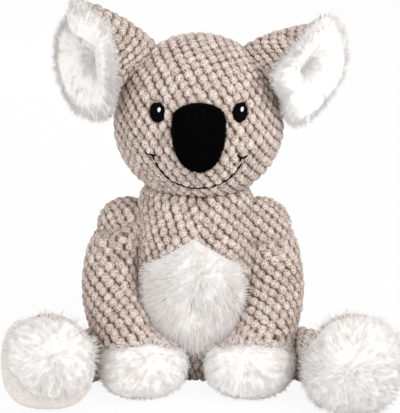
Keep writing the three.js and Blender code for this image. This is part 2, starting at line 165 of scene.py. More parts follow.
def spline(values, shares):
    """Smooth values along a table, at shares from 0 to 1."""
    table = np.asarray(values, float)
    place = np.clip(shares, 0, 1) * (len(table) - 1)
    cell = np.minimum(np.floor(place).astype(int), len(table) - 2)
    part = place - cell
    before, start, end, after = (
        table[np.clip(cell + step, 0, len(table) - 1)] for step in (-1, 0, 1, 2)
    )
    return hermite(start, end, (end - before) / 2, (after - start) / 2, part)


def hermite(start, end, leaving, arriving, part):
    return (
        (2 * start - 2 * end + leaving + arriving) * part**3
        + (3 * end - 3 * start - 2 * leaving - arriving) * part**2
        + leaving * part
        + start
    )


def curve_points(points, count):
    """A centripetal Catmull-Rom curve through points, at count places."""
    points = np.asarray(points, float)
    ghosts = np.vstack([2 * points[0] - points[1], points, 2 * points[-1] - points[-2]])
    made = []
    for place in np.linspace(0, len(points) - 1, count):
        cell = min(int(place), len(points) - 2)
        p0, p1, p2, p3 = ghosts[cell : cell + 4]
        t0, t1, t2 = (max(np.linalg.norm(b - a) ** 0.5, 1e-4) for a, b in ((p0, p1), (p1, p2), (p2, p3)))
        leaving = ((p1 - p0) / t0 - (p2 - p0) / (t0 + t1) + (p2 - p1) / t1) * t1
        arriving = ((p2 - p1) / t1 - (p3 - p1) / (t1 + t2) + (p3 - p2) / t2) * t1
        made.append(hermite(p1, p2, leaving, arriving, place - cell))
    return np.array(made)


# Fields: distances from a surface, below zero inside it
def joined(one, other, blend):
    share = np.clip(0.5 + 0.5 * (other - one) / blend, 0, 1)
    return other + (one - other) * share - blend * share * (1 - share)


def cut(one, other, blend):
    return -joined(-one, -other, blend)


def ellipsoid_field(points, centre, half, down=None):
    place = points - centre
    radii = np.repeat(np.asarray(half, float)[None], len(points), axis=0)
    if down is not None:
        radii[:, 2] = np.where(place[:, 2] < 0, down, radii[:, 2])
    near = np.linalg.norm(place / radii, axis=1)
    steep = np.linalg.norm(place / radii**2, axis=1)
    return near * (near - 1) / np.maximum(steep, 1e-6)


def head_field(points):
    return ellipsoid_field(points, head_centre, [head_half_width, head_half_depth, crown_height], chin_depth)


def torso_sides(height):
    share = (height + torso_underhang) / torso_span
    wide = spline(torso_width_shares, share) * torso_half_width
    deep = spline(torso_depth_shares, share) * torso_half_depth
    middle = -spline(torso_lean_shares, share) * belly_forward
    return wide, deep, middle


def torso_field(points):
    wide, deep, middle = torso_sides(points[:, 2])
    across = np.abs(points[:, 0]) / wide
    along = np.abs(points[:, 1] - middle) / deep
    ring = (across**torso_square + along**torso_square) ** (1 / torso_square)
    sack = (ring - 1) * np.minimum(wide, deep)
    sack = cut(sack, -points[:, 2], seat_rounding)
    return cut(sack, neck_crease - skin_inset - head_field(points), neck_rounding)


line_points = 26
line_smoothing = 6
cloth_smoothing = 40
panel_measure_share = 0.6  # the panels are measured this far out towards the limb's front and back
seam_behind = 3
far_off = 1e9


def summed(steps):
    return np.concatenate([[0], np.cumsum(steps)])


def carried_on(run, arc, values):
    """Values along an arc, which go straight on past both of its ends."""
    before = (values[1] - values[0]) / (arc[1] - arc[0])
    after = (values[-1] - values[-2]) / (arc[-1] - arc[-2])
    inner = np.interp(run, arc, values)
    return inner + before * np.minimum(run, 0) + after * np.maximum(run - arc[-1], 0)


def smoothed(line, times):
    line = line.copy()
    for _ in range(times):
        line[1:-1] = (line[:-2] + 2 * line[1:-1] + line[2:]) / 4
    return line


class Limb:
    """A stuffed tube round a curve that swells into a rounded end."""

    def __init__(self, kind, side, points, radii, upright, end_centre, end_half):
        self.kind = kind
        self.name = names[side]
        self.body = f"{kind}_{self.name}"
        self.line = smoothed(curve_points(points, line_points), line_smoothing)
        self.cloth_line = smoothed(self.line, cloth_smoothing)
        self.radii = spline(radii, np.linspace(0, 1, line_points))
        self.upright = np.asarray(upright, float)
        self.end_centre = end_centre
        self.end_half = end_half - sleeve_recess
        self.arc = summed(np.linalg.norm(np.diff(self.cloth_line, axis=0), axis=1))
        self.ways = unit(np.gradient(self.cloth_line, axis=0))
        self.ups = unit(self.upright - self.ways * (self.ways @ self.upright)[:, None])
        self.down = {}
        for front, facing in ((True, 1), (False, -1)):
            edge = self.cloth_line + facing * panel_measure_share * self.ups * self.radii[:, None]
            steps = np.diff(edge, axis=0)
            self.down[front] = summed(np.sqrt(steps[:, 1] ** 2 + steps[:, 2] ** 2))

    def nearest(self, points, line):
        """For each point, the distance from the tube, how far along it lies and the place on its middle line,
        which runs straight on past both of its ends."""
        best = np.full(len(points), far_off)
        run = np.zeros(len(points))
        foot = np.zeros((len(points), 3))
        last = len(line) - 2
        for index in range(last + 1):
            start, way = line[index], line[index + 1] - line[index]
            part = (points - start) @ way / (way @ way)
            held = np.clip(part, 0, 1)
            radius = self.radii[index] + held * (self.radii[index + 1] - self.radii[index])
            away = np.linalg.norm(points - start - held[:, None] * way, axis=1) - radius
            part = np.clip(part, -far_off if index == 0 else 0, far_off if index == last else 1)
            better = away < best
            best = np.where(better, away, best)
            run = np.where(better, self.arc[index] + part * (self.arc[index + 1] - self.arc[index]), run)
            foot[better] = (start + part[:, None] * way)[better]
        return best, run, foot

    def field(self, points):
        tube = self.nearest(points, self.line)[0]
        end = ellipsoid_field(points, self.end_centre, self.end_half)
        return joined(tube, end, limb_end_blend)

    def around(self, points):
        """How far along the limb each point lies, the limb's direction there, and how far in front of its
        middle line and to the side of it the point is."""
        _, run, foot = self.nearest(points, self.cloth_line)
        way = unit(np.stack([np.interp(run, self.arc, self.ways[:, axis]) for axis in range(3)], axis=1))
        up = unit(self.upright - way * (way @ self.upright)[:, None])
        out = points - foot
        return run, way, np.sum(out * up, axis=1), np.sum(out * np.cross(way, up), axis=1)

    def cloth_place(self, points):
        """How far round the limb and along it each point lies."""
        run, _, ahead, aside = self.around(points)
        return np.arctan2(aside, ahead) * np.hypot(ahead, aside), run

    def panel_place(self, points):
        """Where each point lies on the flat front or back panel that the limb is sewn from, across and up."""
        run, way, ahead, aside = self.around(points)
        front = ahead > -seam_behind
        bend = np.arctan2(aside, np.where(front, ahead, -ahead)) * np.hypot(ahead, aside)
        down = np.where(front, *(carried_on(run, self.arc, self.down[key]) for key in (True, False)))
        level = np.sqrt(1 - way[:, 0] ** 2)
        across = carried_on(run, self.arc, self.cloth_line[:, 0]) - bend * level
        return across, -(down + bend * way[:, 0]), ahead + seam_behind


def foot_place(side):
    return np.array([side * foot_out + foot_shift, -foot_forward, foot_half[2] - seat_sink])


def paw_place(side):
    return np.array([side * paw_out, -paw_forward, paw_half[2] - seat_sink])


def shoulder_place(side):
    out = side * (torso_half_width + shoulder_radius / 2) + arm_shift
    return np.array([out, 0, torso_height - 1.5 * shoulder_radius])


def leg(side):
    hip = np.array([side * side_seam, -belly_forward, leg_radius - seat_sink])
    foot = foot_place(side)
    shares = np.stack([leg_out_shares, leg_forward_shares, leg_height_shares], axis=1)
    radii = np.array(leg_radius_shares) * leg_radius
    return Limb("leg", side, hip + shares * (foot - hip), radii, [0, 0, 1], foot, foot_half)


def arm(side):
    shoulder = shoulder_place(side)
    paw = paw_place(side)
    shares = np.stack([arm_out_shares, arm_forward_shares, arm_down_shares], axis=1)
    radii = np.array(arm_radius_shares) * arm_radius
    return Limb("arm", side, shoulder + shares * (paw - shoulder), radii, [0, -1, 0], paw, paw_half)


names = {1: "left", -1: "right"}
arms = {side: arm(side) for side in names}
legs = {side: leg(side) for side in names}


def mirrored(way, side):
    return unit(way * [side, 1, 1])


def leg_field(side):
    def field(points):
        body = cut(legs[side].field(points), side_seam - side * points[:, 0], hip_rounding)
        return cut(body, -points[:, 2], limb_rounding)

    return field


# The arm folds a little where it hangs from the shoulder
fold_depth = 2.2
fold_width = 4.5
fold_front = 4  # the fold starts this far behind the arm's middle, and is at its full depth further forward
fold_fade = 14
fold_place = {1: np.array([58.0, -18.0, 102.0]), -1: np.array([-60.0, -16.0, 108.5])}
fold_way = {1: unit(np.array([-0.20, -0.15, 1.0])), -1: unit(np.array([-0.36, -0.2, 1.0]))}
gusset_place = np.array([44.0, 0.0, 111.5])
gusset_radius = 17.0
gusset_blend = 6
cap_radius = 17.0
cap_drop = 4.5
cap_blend = 4
armhole_depth_share = 1.08
armhole_reach = 5  # the sleeve goes this far into the torso
armhole_rounding = 1.5
sleeve_overlap = 1.5
sleeve_rounding = 1
limb_gap = 0.5


def above_fold(points, side):
    return (points - fold_place[side]) @ fold_way[side]


def arm_field(side):
    limb, under = arms[side], leg_field(side)
    cap = shoulder_place(side) - [0, 0, cap_drop]
    gusset = gusset_place * [side, 1, 1] + [arm_shift, 0, 0]

    def field(points):
        body = joined(limb.field(points), ellipsoid_field(points, cap, [cap_radius] * 3), cap_blend)
        body = joined(body, ellipsoid_field(points, gusset, [gusset_radius] * 3), gusset_blend)
        front = eased((fold_front - points[:, 1]) / fold_fade)
        body = body + front * fold_depth * np.exp(-((above_fold(points, side) / fold_width) ** 2))
        behind = torso_half_depth * armhole_depth_share + points[:, 1]
        armhole = np.minimum(side_seam - side * points[:, 0], behind) - armhole_reach
        body = cut(body, armhole, armhole_rounding)
        body = cut(body, -sleeve_overlap - torso_field(points), sleeve_rounding)
        body = cut(body, limb_gap - under(points), limb_rounding)
        return cut(body, -points[:, 2], limb_rounding)

    return field


# Surfaces
def surface_net(field, low, high, step):
    """The surface where a field is zero, as points and four-sided faces."""
    low = np.asarray(low, float) - 2 * step
    block = 6
    blocks = np.ceil((np.asarray(high, float) + 2 * step - low) / (step * block)).astype(int)
    middles = (np.stack(np.indices(blocks), axis=-1).reshape(-1, 3) + 0.5) * block * step + low
    rough = evaluated(field, middles).reshape(blocks)
    near = np.abs(rough) < block * step * 1.5
    values = rough
    for axis in range(3):
        values = np.repeat(values, block, axis=axis)
        near = np.repeat(near, block, axis=axis)
    values = values.copy()
    values[near] = evaluated(field, low + np.argwhere(near) * step)
    inside = values < 0
    corners = list(itertools.product((0, 1), repeat=3))
    size = np.array(inside.shape) - 1
    count = sum(
        inside[x : x + size[0], y : y + size[1], z : z + size[2]].astype(np.int8) for x, y, z in corners
    )
    active = (count > 0) & (count < 8)
    index = np.full(active.shape, -1)
    index[active] = np.arange(active.sum())
    cells = np.argwhere(active)
    sums = np.zeros((len(cells), 3))
    hits = np.zeros(len(cells))
    for one, other in itertools.combinations(corners, 2):
        if sum(abs(a - b) for a, b in zip(one, other)) != 1:
            continue
        here = values[tuple((cells + one).T)]
        there = values[tuple((cells + other).T)]
        crossed = (here < 0) != (there < 0)
        share = np.where(crossed, here / np.where(crossed, here - there, 1), 0)
        place = np.array(one) + share[:, None] * (np.array(other) - one)
        sums[crossed] += place[crossed]
        hits += crossed
    points = low + (cells + sums / hits[:, None]) * step
    faces = []
    for axis in range(3):
        u, v = np.eye(3, dtype=int)[[(axis + 1) % 3, (axis + 2) % 3]]
        edges = np.argwhere(np.diff(inside, axis=axis))
        keep = np.all(edges - u - v >= 0, axis=1) & np.all(edges < size, axis=1)
        edges = edges[keep]
        quad = np.stack([index[tuple((edges - back).T)] for back in (np.zeros(3, int), u, u + v, v)], axis=1)
        outward = inside[tuple(edges.T)]
        quad[~outward] = quad[~outward][:, ::-1]
        faces.append(quad[np.all(quad >= 0, axis=1)])
    return points, np.concatenate(faces)


def evaluated(field, points, most=300000):
    return np.concatenate([field(points[at : at + most]) for at in range(0, len(points), most)])


def slope(field, points, reach=0.1):
    found = np.zeros((len(points), 3))
    for axis in range(3):
        step = np.zeros(3)
        step[axis] = reach
        found[:, axis] = (evaluated(field, points + step) - evaluated(field, points - step)) / (2 * reach)
    return found


def settled(field, points, step):
    """Points moved onto the surface of a field."""
    for _ in range(2):
        way = slope(field, points)
        move = evaluated(field, points)[:, None] * way / np.maximum(np.sum(way**2, axis=1), 0.2)[:, None]
        length = np.linalg.norm(move, axis=1, keepdims=True)
        points = points - move * np.minimum(1, step / np.maximum(length, 1e-9))
    return points


def kept_faces(points, faces, keep):
    """The corners that are used by the faces whose corners are all kept, and those faces."""
    faces = faces[np.all(keep[faces], axis=1)]
    used = np.zeros(len(points), bool)
    used[faces] = True
    renumbered = np.cumsum(used) - 1
    return used, renumbered[faces]


# Bobbles: their size as shares of their pitch and their row's, and how much they vary along the row, across
# it, in their width, in their length and in how high they stand
bobble_width_share = 0.605
bobble_length_share = 0.54
bobble_slant_share = 0.16
row_shift_share = 0.25
vary_shares = (0.12, 0.09, 0.10, 0.08, 0.24)
outline_powers = (2.4, 2.3)
dome_power = 0.6


def rowed(around, along, angle, salt):
    """Bobbles whose rows run at an angle to the first coordinate of the cloth."""
    turn = math.radians(angle)
    run = around * math.cos(turn) + along * math.sin(turn)
    rise = -around * math.sin(turn) + along * math.cos(turn)
    return bobbles(run, rise, salt)


def bobbles(run, rise, salt, width_at=None):
    """How high each place of the cloth stands, as a share of a bobble, and a random number for its bobble.
    run is the way along a row and rise the way across the rows."""
    nearest_row = np.round(rise / row_pitch)
    best = np.zeros(len(run))
    shade = np.zeros(len(run))
    for row_step in (-1, 0, 1):
        row = nearest_row + row_step
        here = run if width_at is None else run * width_at(row * row_pitch)
        shift = 0.5 * np.mod(row, 2) + row_shift_share * scatter(row, 0, salt)
        column_near = np.round(here / bobble_pitch - shift)
        for column_step in (-1, 0, 1):
            column = column_near + column_step
            chances = [scatter(column, row, salt + extra) for extra in range(1, 6)]
            along, across, width, length, height = (
                share * (value - 0.5) for share, value in zip(vary_shares, chances)
            )
            y = rise / row_pitch - row - across
            x = here / bobble_pitch - column - shift - along + bobble_slant_share * y
            far = np.abs(x / (bobble_width_share * (1 + width))) ** outline_powers[0]
            far = far + np.abs(y / (bobble_length_share * (1 + length))) ** outline_powers[1]
            dome = (1 + height) * np.maximum(1 - far, 0) ** dome_power
            higher = dome > best
            best = np.where(higher, dome, best)
            shade = np.where(higher, chances[-1], shade)
    return best, shade


# Looks
class NodeTree:
    """The nodes of a material or of the world."""

    def __init__(self, holder, output):
        holder.use_nodes = True
        self.nodes, self.links = holder.node_tree.nodes, holder.node_tree.links
        self.nodes.clear()
        self.output = self.node(output)

    def node(self, kind, inputs=None):
        """A new node. Each of its inputs gets a value or the output of another node."""
        made = self.nodes.new("ShaderNode" + kind)
        for key, given in (inputs or {}).items():
            if isinstance(given, bpy.types.NodeSocket):
                self.links.new(given, made.inputs[key])
            else:
                made.inputs[key].default_value = given
        return made

    def show(self, shader):
        self.links.new(shader.outputs[0], self.output.inputs["Surface"])

    def ramp(self, source, stops):
        made = self.node("ValToRGB", {"Fac": source})
        elements = made.color_ramp.elements
        while len(elements) < len(stops):
            elements.new(0.5)
        for element, (place, colour) in zip(elements, stops):
            element.position = place
            element.color = (*colour, 1)
        return made.outputs["Color"]

    def multiplied(self, share, one, other):
        made = self.node("Mix")
        made.data_type = "RGBA"
        made.blend_type = "MULTIPLY"
        enabled = {socket.name: socket for socket in made.inputs if socket.enabled}
        enabled["Factor"].default_value = share
        self.links.new(one, enabled["A"])
        self.links.new(other, enabled["B"])
        return next(socket for socket in made.outputs if socket.enabled)

    def attribute(self, name):
        made = self.node("Attribute")
        made.attribute_name = name
        return made.outputs["Fac"]

    def noise(self, scale, detail):
        place = self.node("TexCoord").outputs["Object"]
        return self.node("TexNoise", {"Vector": place, "Scale": scale, "Detail": detail}).outputs["Fac"]

    def maths(self, operation, one, other):
        made = self.node("Math", {0: one, 1: other})
        made.operation = operation
        return made.outputs[0]

    def for_rays(self, rays, share, lit, shown):
        """One shader, with a share of another mixed in for the rays that are named."""
        path = self.node("LightPath")
        seen = 0
        for ray in rays:
            seen = self.maths("MAXIMUM", seen, path.outputs[ray])
        seen = self.maths("MULTIPLY", seen, share)
        return self.node("MixShader", {0: seen, 1: lit.outputs[0], 2: shown.outputs[0]})


def make_look(name, slot, colour, roughness, specular, sheen=0.0, grain=None, inside=None):
    """A material and its slot. colour makes its colour in its nodes, grain is the scale, height and strength
    of its bump, and inside says how light spreads under its surface."""
    material = bpy.data.materials.new(name)
    tree = NodeTree(material, "OutputMaterial")
    inputs = {"Base Color": colour(tree), "Roughness": roughness, "Specular IOR Level": specular}
    inputs.update({"Sheen Weight": sheen, **(inside or {})})
    if grain is not None:
        scale, distance, strength = grain
        relief = {"Height": tree.noise(scale, 3), "Distance": distance, "Strength": strength}
        inputs["Normal"] = tree.node("Bump", relief).outputs["Normal"]
    tree.show(tree.node("BsdfPrincipled", inputs))
    return material, slot


def grey(level):
    return (level, level, level)


def bobble_colour(tree):
    """Painted shade in the valleys, painted light on the bobbles' tops, specks of yarn and a tone for each
    bobble.
    """
    # The colour is painted shade and light, read from how high the cloth stands: dark in the valleys, light
    # on the tops
    valley_shade_stops = [
        (0.0, (0.09, 0.06, 0.047)),
        (0.28, (0.30, 0.228, 0.195)),
        (0.55, (0.64, 0.54, 0.485)),
        (1.0, (0.86, 0.765, 0.71)),
    ]
    loop_stops = [(0.39, (0.36, 0.27, 0.22)), (0.47, (0.86, 0.83, 0.81)), (0.58, grey(1.0))]
    depth = tree.ramp(tree.attribute("stand"), valley_shade_stops)
    loops = tree.ramp(tree.noise(yarn_scale, 2), loop_stops)
    tone = tree.ramp(tree.attribute("shade"), [(0.0, (0.88, 0.865, 0.855)), (1.0, grey(1.0))])
    return tree.multiplied(1.0, tree.multiplied(0.9, depth, loops), tone)


def strand_colour(stops, low_tone):
    """Colours from the strands' roots to their tips, darker towards the roots as painted shade deep in the
    pile, and a tone that differs between strands.
    """

    def colour(tree):
        tone = tree.ramp(tree.attribute("shade"), [(0.0, low_tone), (1.0, grey(1.0))])
        return tree.multiplied(1.0, tree.ramp(tree.attribute("along"), stops), tone)

    return colour


def fleece_colour(tree):
    # Painted shade: the fleece is greyer where it stands low, in the furrows between its streaks and tufts,
    # and whiter on their tops. A sole's short pile has a low stand of its own, which makes it a warmer grey.
    stops = [
        (0.05, (0.70, 0.64, 0.60)),
        (0.28, (0.83, 0.785, 0.75)),
        (0.45, (0.915, 0.89, 0.87)),
        (0.8, (0.945, 0.925, 0.91)),
    ]
    return tree.ramp(tree.attribute("stand"), stops)


def speckled(scale, detail, *stops):
    return lambda tree: tree.ramp(tree.noise(scale, detail), stops)


yarn_scale = 1000  # lumps for each metre
fleece_scale = 900
velvet_scale = 1800
thread_scale = 2500
# Both piles darken towards their roots: painted shade deep in the pile
white_stops = [(0.0, (0.87, 0.83, 0.805)), (0.5, (0.915, 0.882, 0.862)), (1.0, (0.94, 0.91, 0.89))]
nap_stops = [(0.0, grey(0.0005)), (1.0, (0.003, 0.0029, 0.0028))]
cloth_finish = {"roughness": 0.95, "specular": 0.1, "sheen": 0.2}
thread_finish = {"roughness": 0.9, "specular": 0.03}
bobble_look = make_look(
    "bobble_cloth", "bobble_fabric", bobble_colour, **cloth_finish, grain=(yarn_scale, 0.9 * metre, 0.8)
)
strand_look = make_look(
    "white_pile_strands",
    "white_pile",
    strand_colour(white_stops, (0.94, 0.93, 0.92)),
    roughness=0.8,
    specular=0.15,
    sheen=0.25,
)
fleece_look = make_look(
    "pile_fleece",
    "white_pile",
    fleece_colour,
    **cloth_finish,
    grain=(fleece_scale, 0.6 * metre, 0.4),
    inside={"Subsurface Weight": 0.5, "Subsurface Scale": 4 * metre, "Subsurface Radius": (1.0, 0.9, 0.85)},
)
velvet_look = make_look(
    "black_velvet",
    "black_plush",
    speckled(fleece_scale, 3, (0.3, grey(0.0006)), (0.75, (0.002, 0.0019, 0.0018))),
    roughness=0.95,
    specular=0.03,
    grain=(velvet_scale, 0.5 * metre, 0.5),
)
nap_look = make_look("black_nap", "black_plush", strand_colour(nap_stops, grey(0.4)), **thread_finish)
black_colour = speckled(thread_scale, 2, (0.3, grey(0.001)), (0.7, grey(0.004)))
black_look = make_look("black_thread", "black_thread", black_colour, **thread_finish)
white_colour = speckled(thread_scale, 2, (0.3, grey(0.78)), (0.7, grey(0.92)))
white_look = make_look("white_thread", "white_thread", white_colour, **thread_finish)


# Pieces
def mesh_piece(name, body, look, points, faces, replaced=(), values=None, normals=None, on_map=None):
    """A piece that moves with a body and stands for the CAD nodes that it replaces."""
    material, slot = look
    mesh = bpy.data.meshes.new(name)
    mesh.vertices.add(len(points))
    mesh.vertices.foreach_set("co", (points * metre).astype(np.float32).ravel())
    mesh.loops.add(faces.size)
    mesh.loops.foreach_set("vertex_index", faces.astype(np.int32).ravel())
    mesh.polygons.add(len(faces))
    mesh.polygons.foreach_set("loop_start", np.arange(0, faces.size, faces.shape[1], dtype=np.int32))
    mesh.polygons.foreach_set("use_smooth", np.ones(len(faces), bool))
    for key, numbers in (values or {}).items():
        mesh.attributes.new(key, "FLOAT", "POINT").data.foreach_set("value", numbers.astype(np.float32))
    if on_map is not None:
        mesh.uv_layers.new(name="OFBake").data.foreach_set("uv", on_map[faces].astype(np.float32).ravel())
    mesh.update(calc_edges=True)
    mesh.validate()
    if normals is not None:
        mesh.normals_split_custom_set_from_vertices(normals.tolist())
    mesh.materials.append(material)
    piece = bpy.data.objects.new(name, mesh)
    bpy.context.scene.collection.objects.link(piece)
    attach(piece, body)
    if replaced:
        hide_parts(*replaced)
    return piece


def fuzz(points):
    """The small lumps that the loops of the yarn make in the fabric."""
    return 0.32 * noise(points, 1.5, 5) + 0.25 * noise(points, 3.1, 8)


def uneven(points):
    return 0.10 * noise(points, 2.2, 6)


skin_slope_reach = 0.6
warp_reach = 0.7  # how far the rows wander
warp_size = 14
# How high the cloth stands also sets its painted shade: the lowest value limits how dark the valleys get, and
# pressed cloth takes a middle tone
lowest_stand = 0.07
pressed_stand = 0.5


def bobble_skin(name, body, replaced, field, low, high, cloth, keep=None, calm=None):
    """A skin of bobble fabric over a form. cloth gives the bobbles' heights, and calm where they are pressed
    flat."""

    def base(points):
        return field(points) + skin_inset

    points, faces = surface_net(base, low, high, skin_step)
    points = settled(base, points, skin_step)
    outward = unit(slope(base, points, skin_slope_reach))
    warp = np.stack([warp_reach * noise(points, warp_size, 31 + extra) for extra in range(3)], axis=1)
    height, shade = cloth(points + warp)
    # stand carries the painted shade of the valleys and the painted light of the tops into the colour
    stand = np.maximum(height + uneven(points), lowest_stand)
    if calm is not None:
        still = calm(points)
        height = height * still
        stand = np.where(still < 1, still * stand + (1 - still) * pressed_stand, stand)
    points = points + outward * (height * bobble_height + fuzz(points))[:, None]
    points[:, 2] = np.maximum(points[:, 2], 0)
    if keep is not None:
        used, faces = kept_faces(points, faces, keep(points))
        points, stand, shade = points[used], stand[used], shade[used]
    values = {"stand": stand, "shade": shade}
    mesh_piece(name, body, bobble_look, points, faces, replaced, values)


skin_depth = 5  # the skins hold nothing that lies deeper
head_room = 4
torso_room_low = np.array([3, 8, 1])
torso_room_high = np.array([3, 5, 6])
under_floor = 1
panel_gap = 0.2
panel_rounding = 2.5
panel_reach = 5


def make_panels(part, field, low, high, cloth, keep, front_calm):
    """The front and back panels of the head or the torso, which meet in its side seams."""
    for back, end in ((False, "front"), (True, "back")):
        facing = 1 if back else -1

        def panel(points):
            return cut(field(points), facing * (panel_seam - points[:, 1]) + panel_gap, panel_rounding)

        box = np.array([low, high], float)
        box[0 if back else 1, 1] = panel_seam - facing * panel_reach
        replaced = [f"{part}_{end}", f"{part}_stuffing"] if back else [f"{part}_{end}"]
        calm = None if back else front_calm
        bobble_skin(f"{part}_{end}_skin", part, replaced, panel, *box, cloth(back), keep, calm)


# The head's rows run down to the koala's left, round an axis that passes under one ear
row_axis = unit(np.array([math.cos(math.radians(38)), 0, math.sin(math.radians(38))]))
head_radius = 61
head_half = np.array([head_half_width, head_half_depth, crown_height])


def head_cloth(back):
    front = np.array([0, 1.0 if back else -1.0, 0])
    aside = np.cross(row_axis, front)

    def cloth(points):
        way = unit((points - head_centre) / head_half)
        rise = head_radius * np.arcsin(np.clip(way @ row_axis, -1, 1))
        turn = np.arctan2(way @ aside, way @ front)
        return bobbles(head_radius * turn, rise, 3 + back, lambda height: np.cos(height / head_radius))

    return cloth


eye_half = np.array([5.3, 7.2])
eye_out = 28.6
eye_lift = 19.3
eye_overlap = 0.8
eye_press = 2.0
mouth_half_width = 29.5
mouth_rise = 19
mouth_drop = 36.2
mouth_radius = (mouth_half_width**2 + mouth_rise**2) / (2 * mouth_rise)
mouth_half_thick = 0.4
mouth_press = 1.8
mouth_press_share = 0.7


def face_calm(points):
    """0 under the eyes and little under the mouth, where stitches press the bobbles flat, and 1 elsewhere."""
    x, z = points[:, 0] - head_centre[0], points[:, 2] - head_centre[2]
    calm = np.ones(len(points))
    half_width, half_height = eye_half - eye_overlap
    for side in names:
        near = np.hypot((x - side * eye_out) / half_width, (z - eye_lift) / half_height)
        calm *= eased((near - 1) * half_width / eye_press)
    z = z + mouth_drop - mouth_radius
    off = eased((np.abs(np.hypot(x, z) - mouth_radius) - mouth_half_thick) / mouth_press)
    on = (np.abs(x) < mouth_half_width) & (z < 0)
    calm *= np.where(on, 1 - mouth_press_share + mouth_press_share * off, 1)
    return np.where(points[:, 1] < 0, calm, 1)


def make_head():
    reach = head_half + head_room

    def keep(points):
        return head_field(points) > -skin_depth

    make_panels("head", head_field, head_centre - reach, head_centre + reach, head_cloth, keep, face_calm)


def chosen(first, one, other):
    """The heights and shades of one cloth where first is true, and of another elsewhere."""
    return tuple(np.where(first, a, b) for a, b in zip(one, other))


chest_row_angles = (-42, -68)  # at the koala's left, and at its right
chest_change = 1.5
back_row_angle = -50


def torso_cloth(back):
    facing = 1 if back else -1

    def cloth(points):
        height = points[:, 2]
        wide, deep, middle = torso_sides(height)
        turn = np.arctan2(points[:, 0] / wide, facing * (points[:, 1] - middle) / deep)
        around = turn * (torso_half_width + 1)
        if back:
            return rowed(around, height, back_row_angle, 11)
        halves = [rowed(around, height, angle, 12 + place) for place, angle in enumerate(chest_row_angles)]
        return chosen(around > chest_change, *halves)

    return cloth


belly_roof_share = 0.58  # how far the patch's top falls towards its sides
belly_cut_share = 0.86
belly_press_shares = (0.93, 1.03)


def belly_share(x, z):
    """Below 1 inside the belly patch's outline."""
    up = (z - belly_middle) / belly_half_height
    width = belly_half_width * (1 - belly_narrowing * np.maximum(up, 0))
    x = x - belly_aside
    round_outline = (np.abs(x / width) ** belly_square + np.abs(up) ** belly_square) ** (1 / belly_square)
    return np.maximum(round_outline, up + belly_roof_share * np.abs(x) / belly_half_width)


def torso_calm(points):
    start, end = belly_press_shares
    near = belly_share(points[:, 0], points[:, 2])
    return np.where(points[:, 1] < 0, eased((near - start) / (end - start)), 1)


def make_torso():
    low = np.array([-torso_half_width, -torso_half_depth, 0]) - torso_room_low
    high = np.array([torso_half_width, torso_half_depth, torso_height]) + torso_room_high

    def keep(points):
        patch = (belly_share(points[:, 0], points[:, 2]) < belly_cut_share) & (points[:, 1] < 0)
        return (torso_field(points) > -skin_depth) & ~patch

    make_panels("torso", torso_field, low, high, torso_cloth, keep, torso_calm)


# Sleeves
cap_lean = 0.5
cap_row_angle = {1: -40, -1: -58}
sleeve_row_angle = -46
leg_row_angle = -40
arm_reach = 24  # every part of a limb lies this close to its middle line
leg_reach = 20
sleeve_under_paw = 1  # how far behind the pile's own edge the fabric ends
sleeve_under_foot = -2
seam_press = 1.6
seam_press_share = 0.75
fold_press = 3.6
fold_press_share = 0.7


def arm_cloth(side):
    """Two flat panels for the sleeve, and two more that are pulled over the ball of the shoulder."""

    def cap(points):
        way = points - shoulder_place(side)
        facing = np.where(way[:, 1:2] < seam_behind, -1.0, 1.0)
        way = unit(way)
        middle = unit(facing * [0, 1, 0] + [0, 0, cap_lean])
        up = unit(-facing * [0, cap_lean, 0] + [0, 0, 1])
        away = np.arccos(np.clip(np.sum(way * middle, axis=1), -1, 1))
        spread = shoulder_radius * away / np.maximum(np.sin(away), 0.02)
        return rowed(spread * way[:, 0], spread * np.sum(way * up, axis=1), cap_row_angle[side], 25 + side)

    def cloth(points):
        across, up, _ = arms[side].panel_place(points)
        sleeve = rowed(across, up, sleeve_row_angle, 60 + side)
        return chosen(above_fold(points, side) > 0, cap(points), sleeve)

    return cloth


def arm_calm(side):
    """How far the bobbles stand, which are pressed flat in the sleeve's seams and in its fold."""

    def calm(points):
        from_seam = eased(np.abs(arms[side].panel_place(points)[2]) / seam_press)
        from_fold = eased(np.abs(above_fold(points, side)) / fold_press)
        seam = 1 - seam_press_share + seam_press_share * from_seam
        return seam * (1 - fold_press_share + fold_press_share * from_fold)

    return calm


def leg_cloth(side):
    def cloth(points):
        around, run = legs[side].cloth_place(points)
        return rowed(around, -run, leg_row_angle * side, 30 + side)

    return cloth


def make_sleeve(limb, field, cloth, reach, facing, last, calm=None):
    """The fabric of an arm or a leg. It ends under the pile of its paw or foot, last millimetres from the
    middle of that along its facing."""
    low = np.minimum(limb.line.min(axis=0) - reach, limb.end_centre - limb.end_half - sleeve_recess)
    high = np.maximum(limb.line.max(axis=0) + reach, limb.end_centre + limb.end_half + sleeve_recess)
    low[2] = -under_floor

    def keep(points):
        return (points - limb.end_centre) @ facing < last

    kind, name = limb.kind, limb.name
    replaced = [f"{kind}_sleeve_{name}", f"{kind}_stuffing_{name}"]
    bobble_skin(f"{kind}_sleeve_skin_{name}", limb.body, replaced, field, low, high, cloth, keep, calm)


def make_arms():
    for side, limb in arms.items():
        last = -paw_back - sleeve_under_paw
        make_sleeve(limb, arm_field(side), arm_cloth(side), arm_reach, paw_facing, last, arm_calm(side))


def make_legs():
    for side, limb in legs.items():
        last = -foot_back - sleeve_under_foot
        make_sleeve(limb, leg_field(side), leg_cloth(side), leg_reach, mirrored(foot_facing, side), last)


# Grids
def full_turn(count):
    return np.linspace(0, 2 * math.pi, count, endpoint=False)


def crossings(first, second):
    """Both values at each crossing of a grid. The second one changes fastest."""
    return (values.ravel() for values in np.meshgrid(first, second, indexing="ij"))


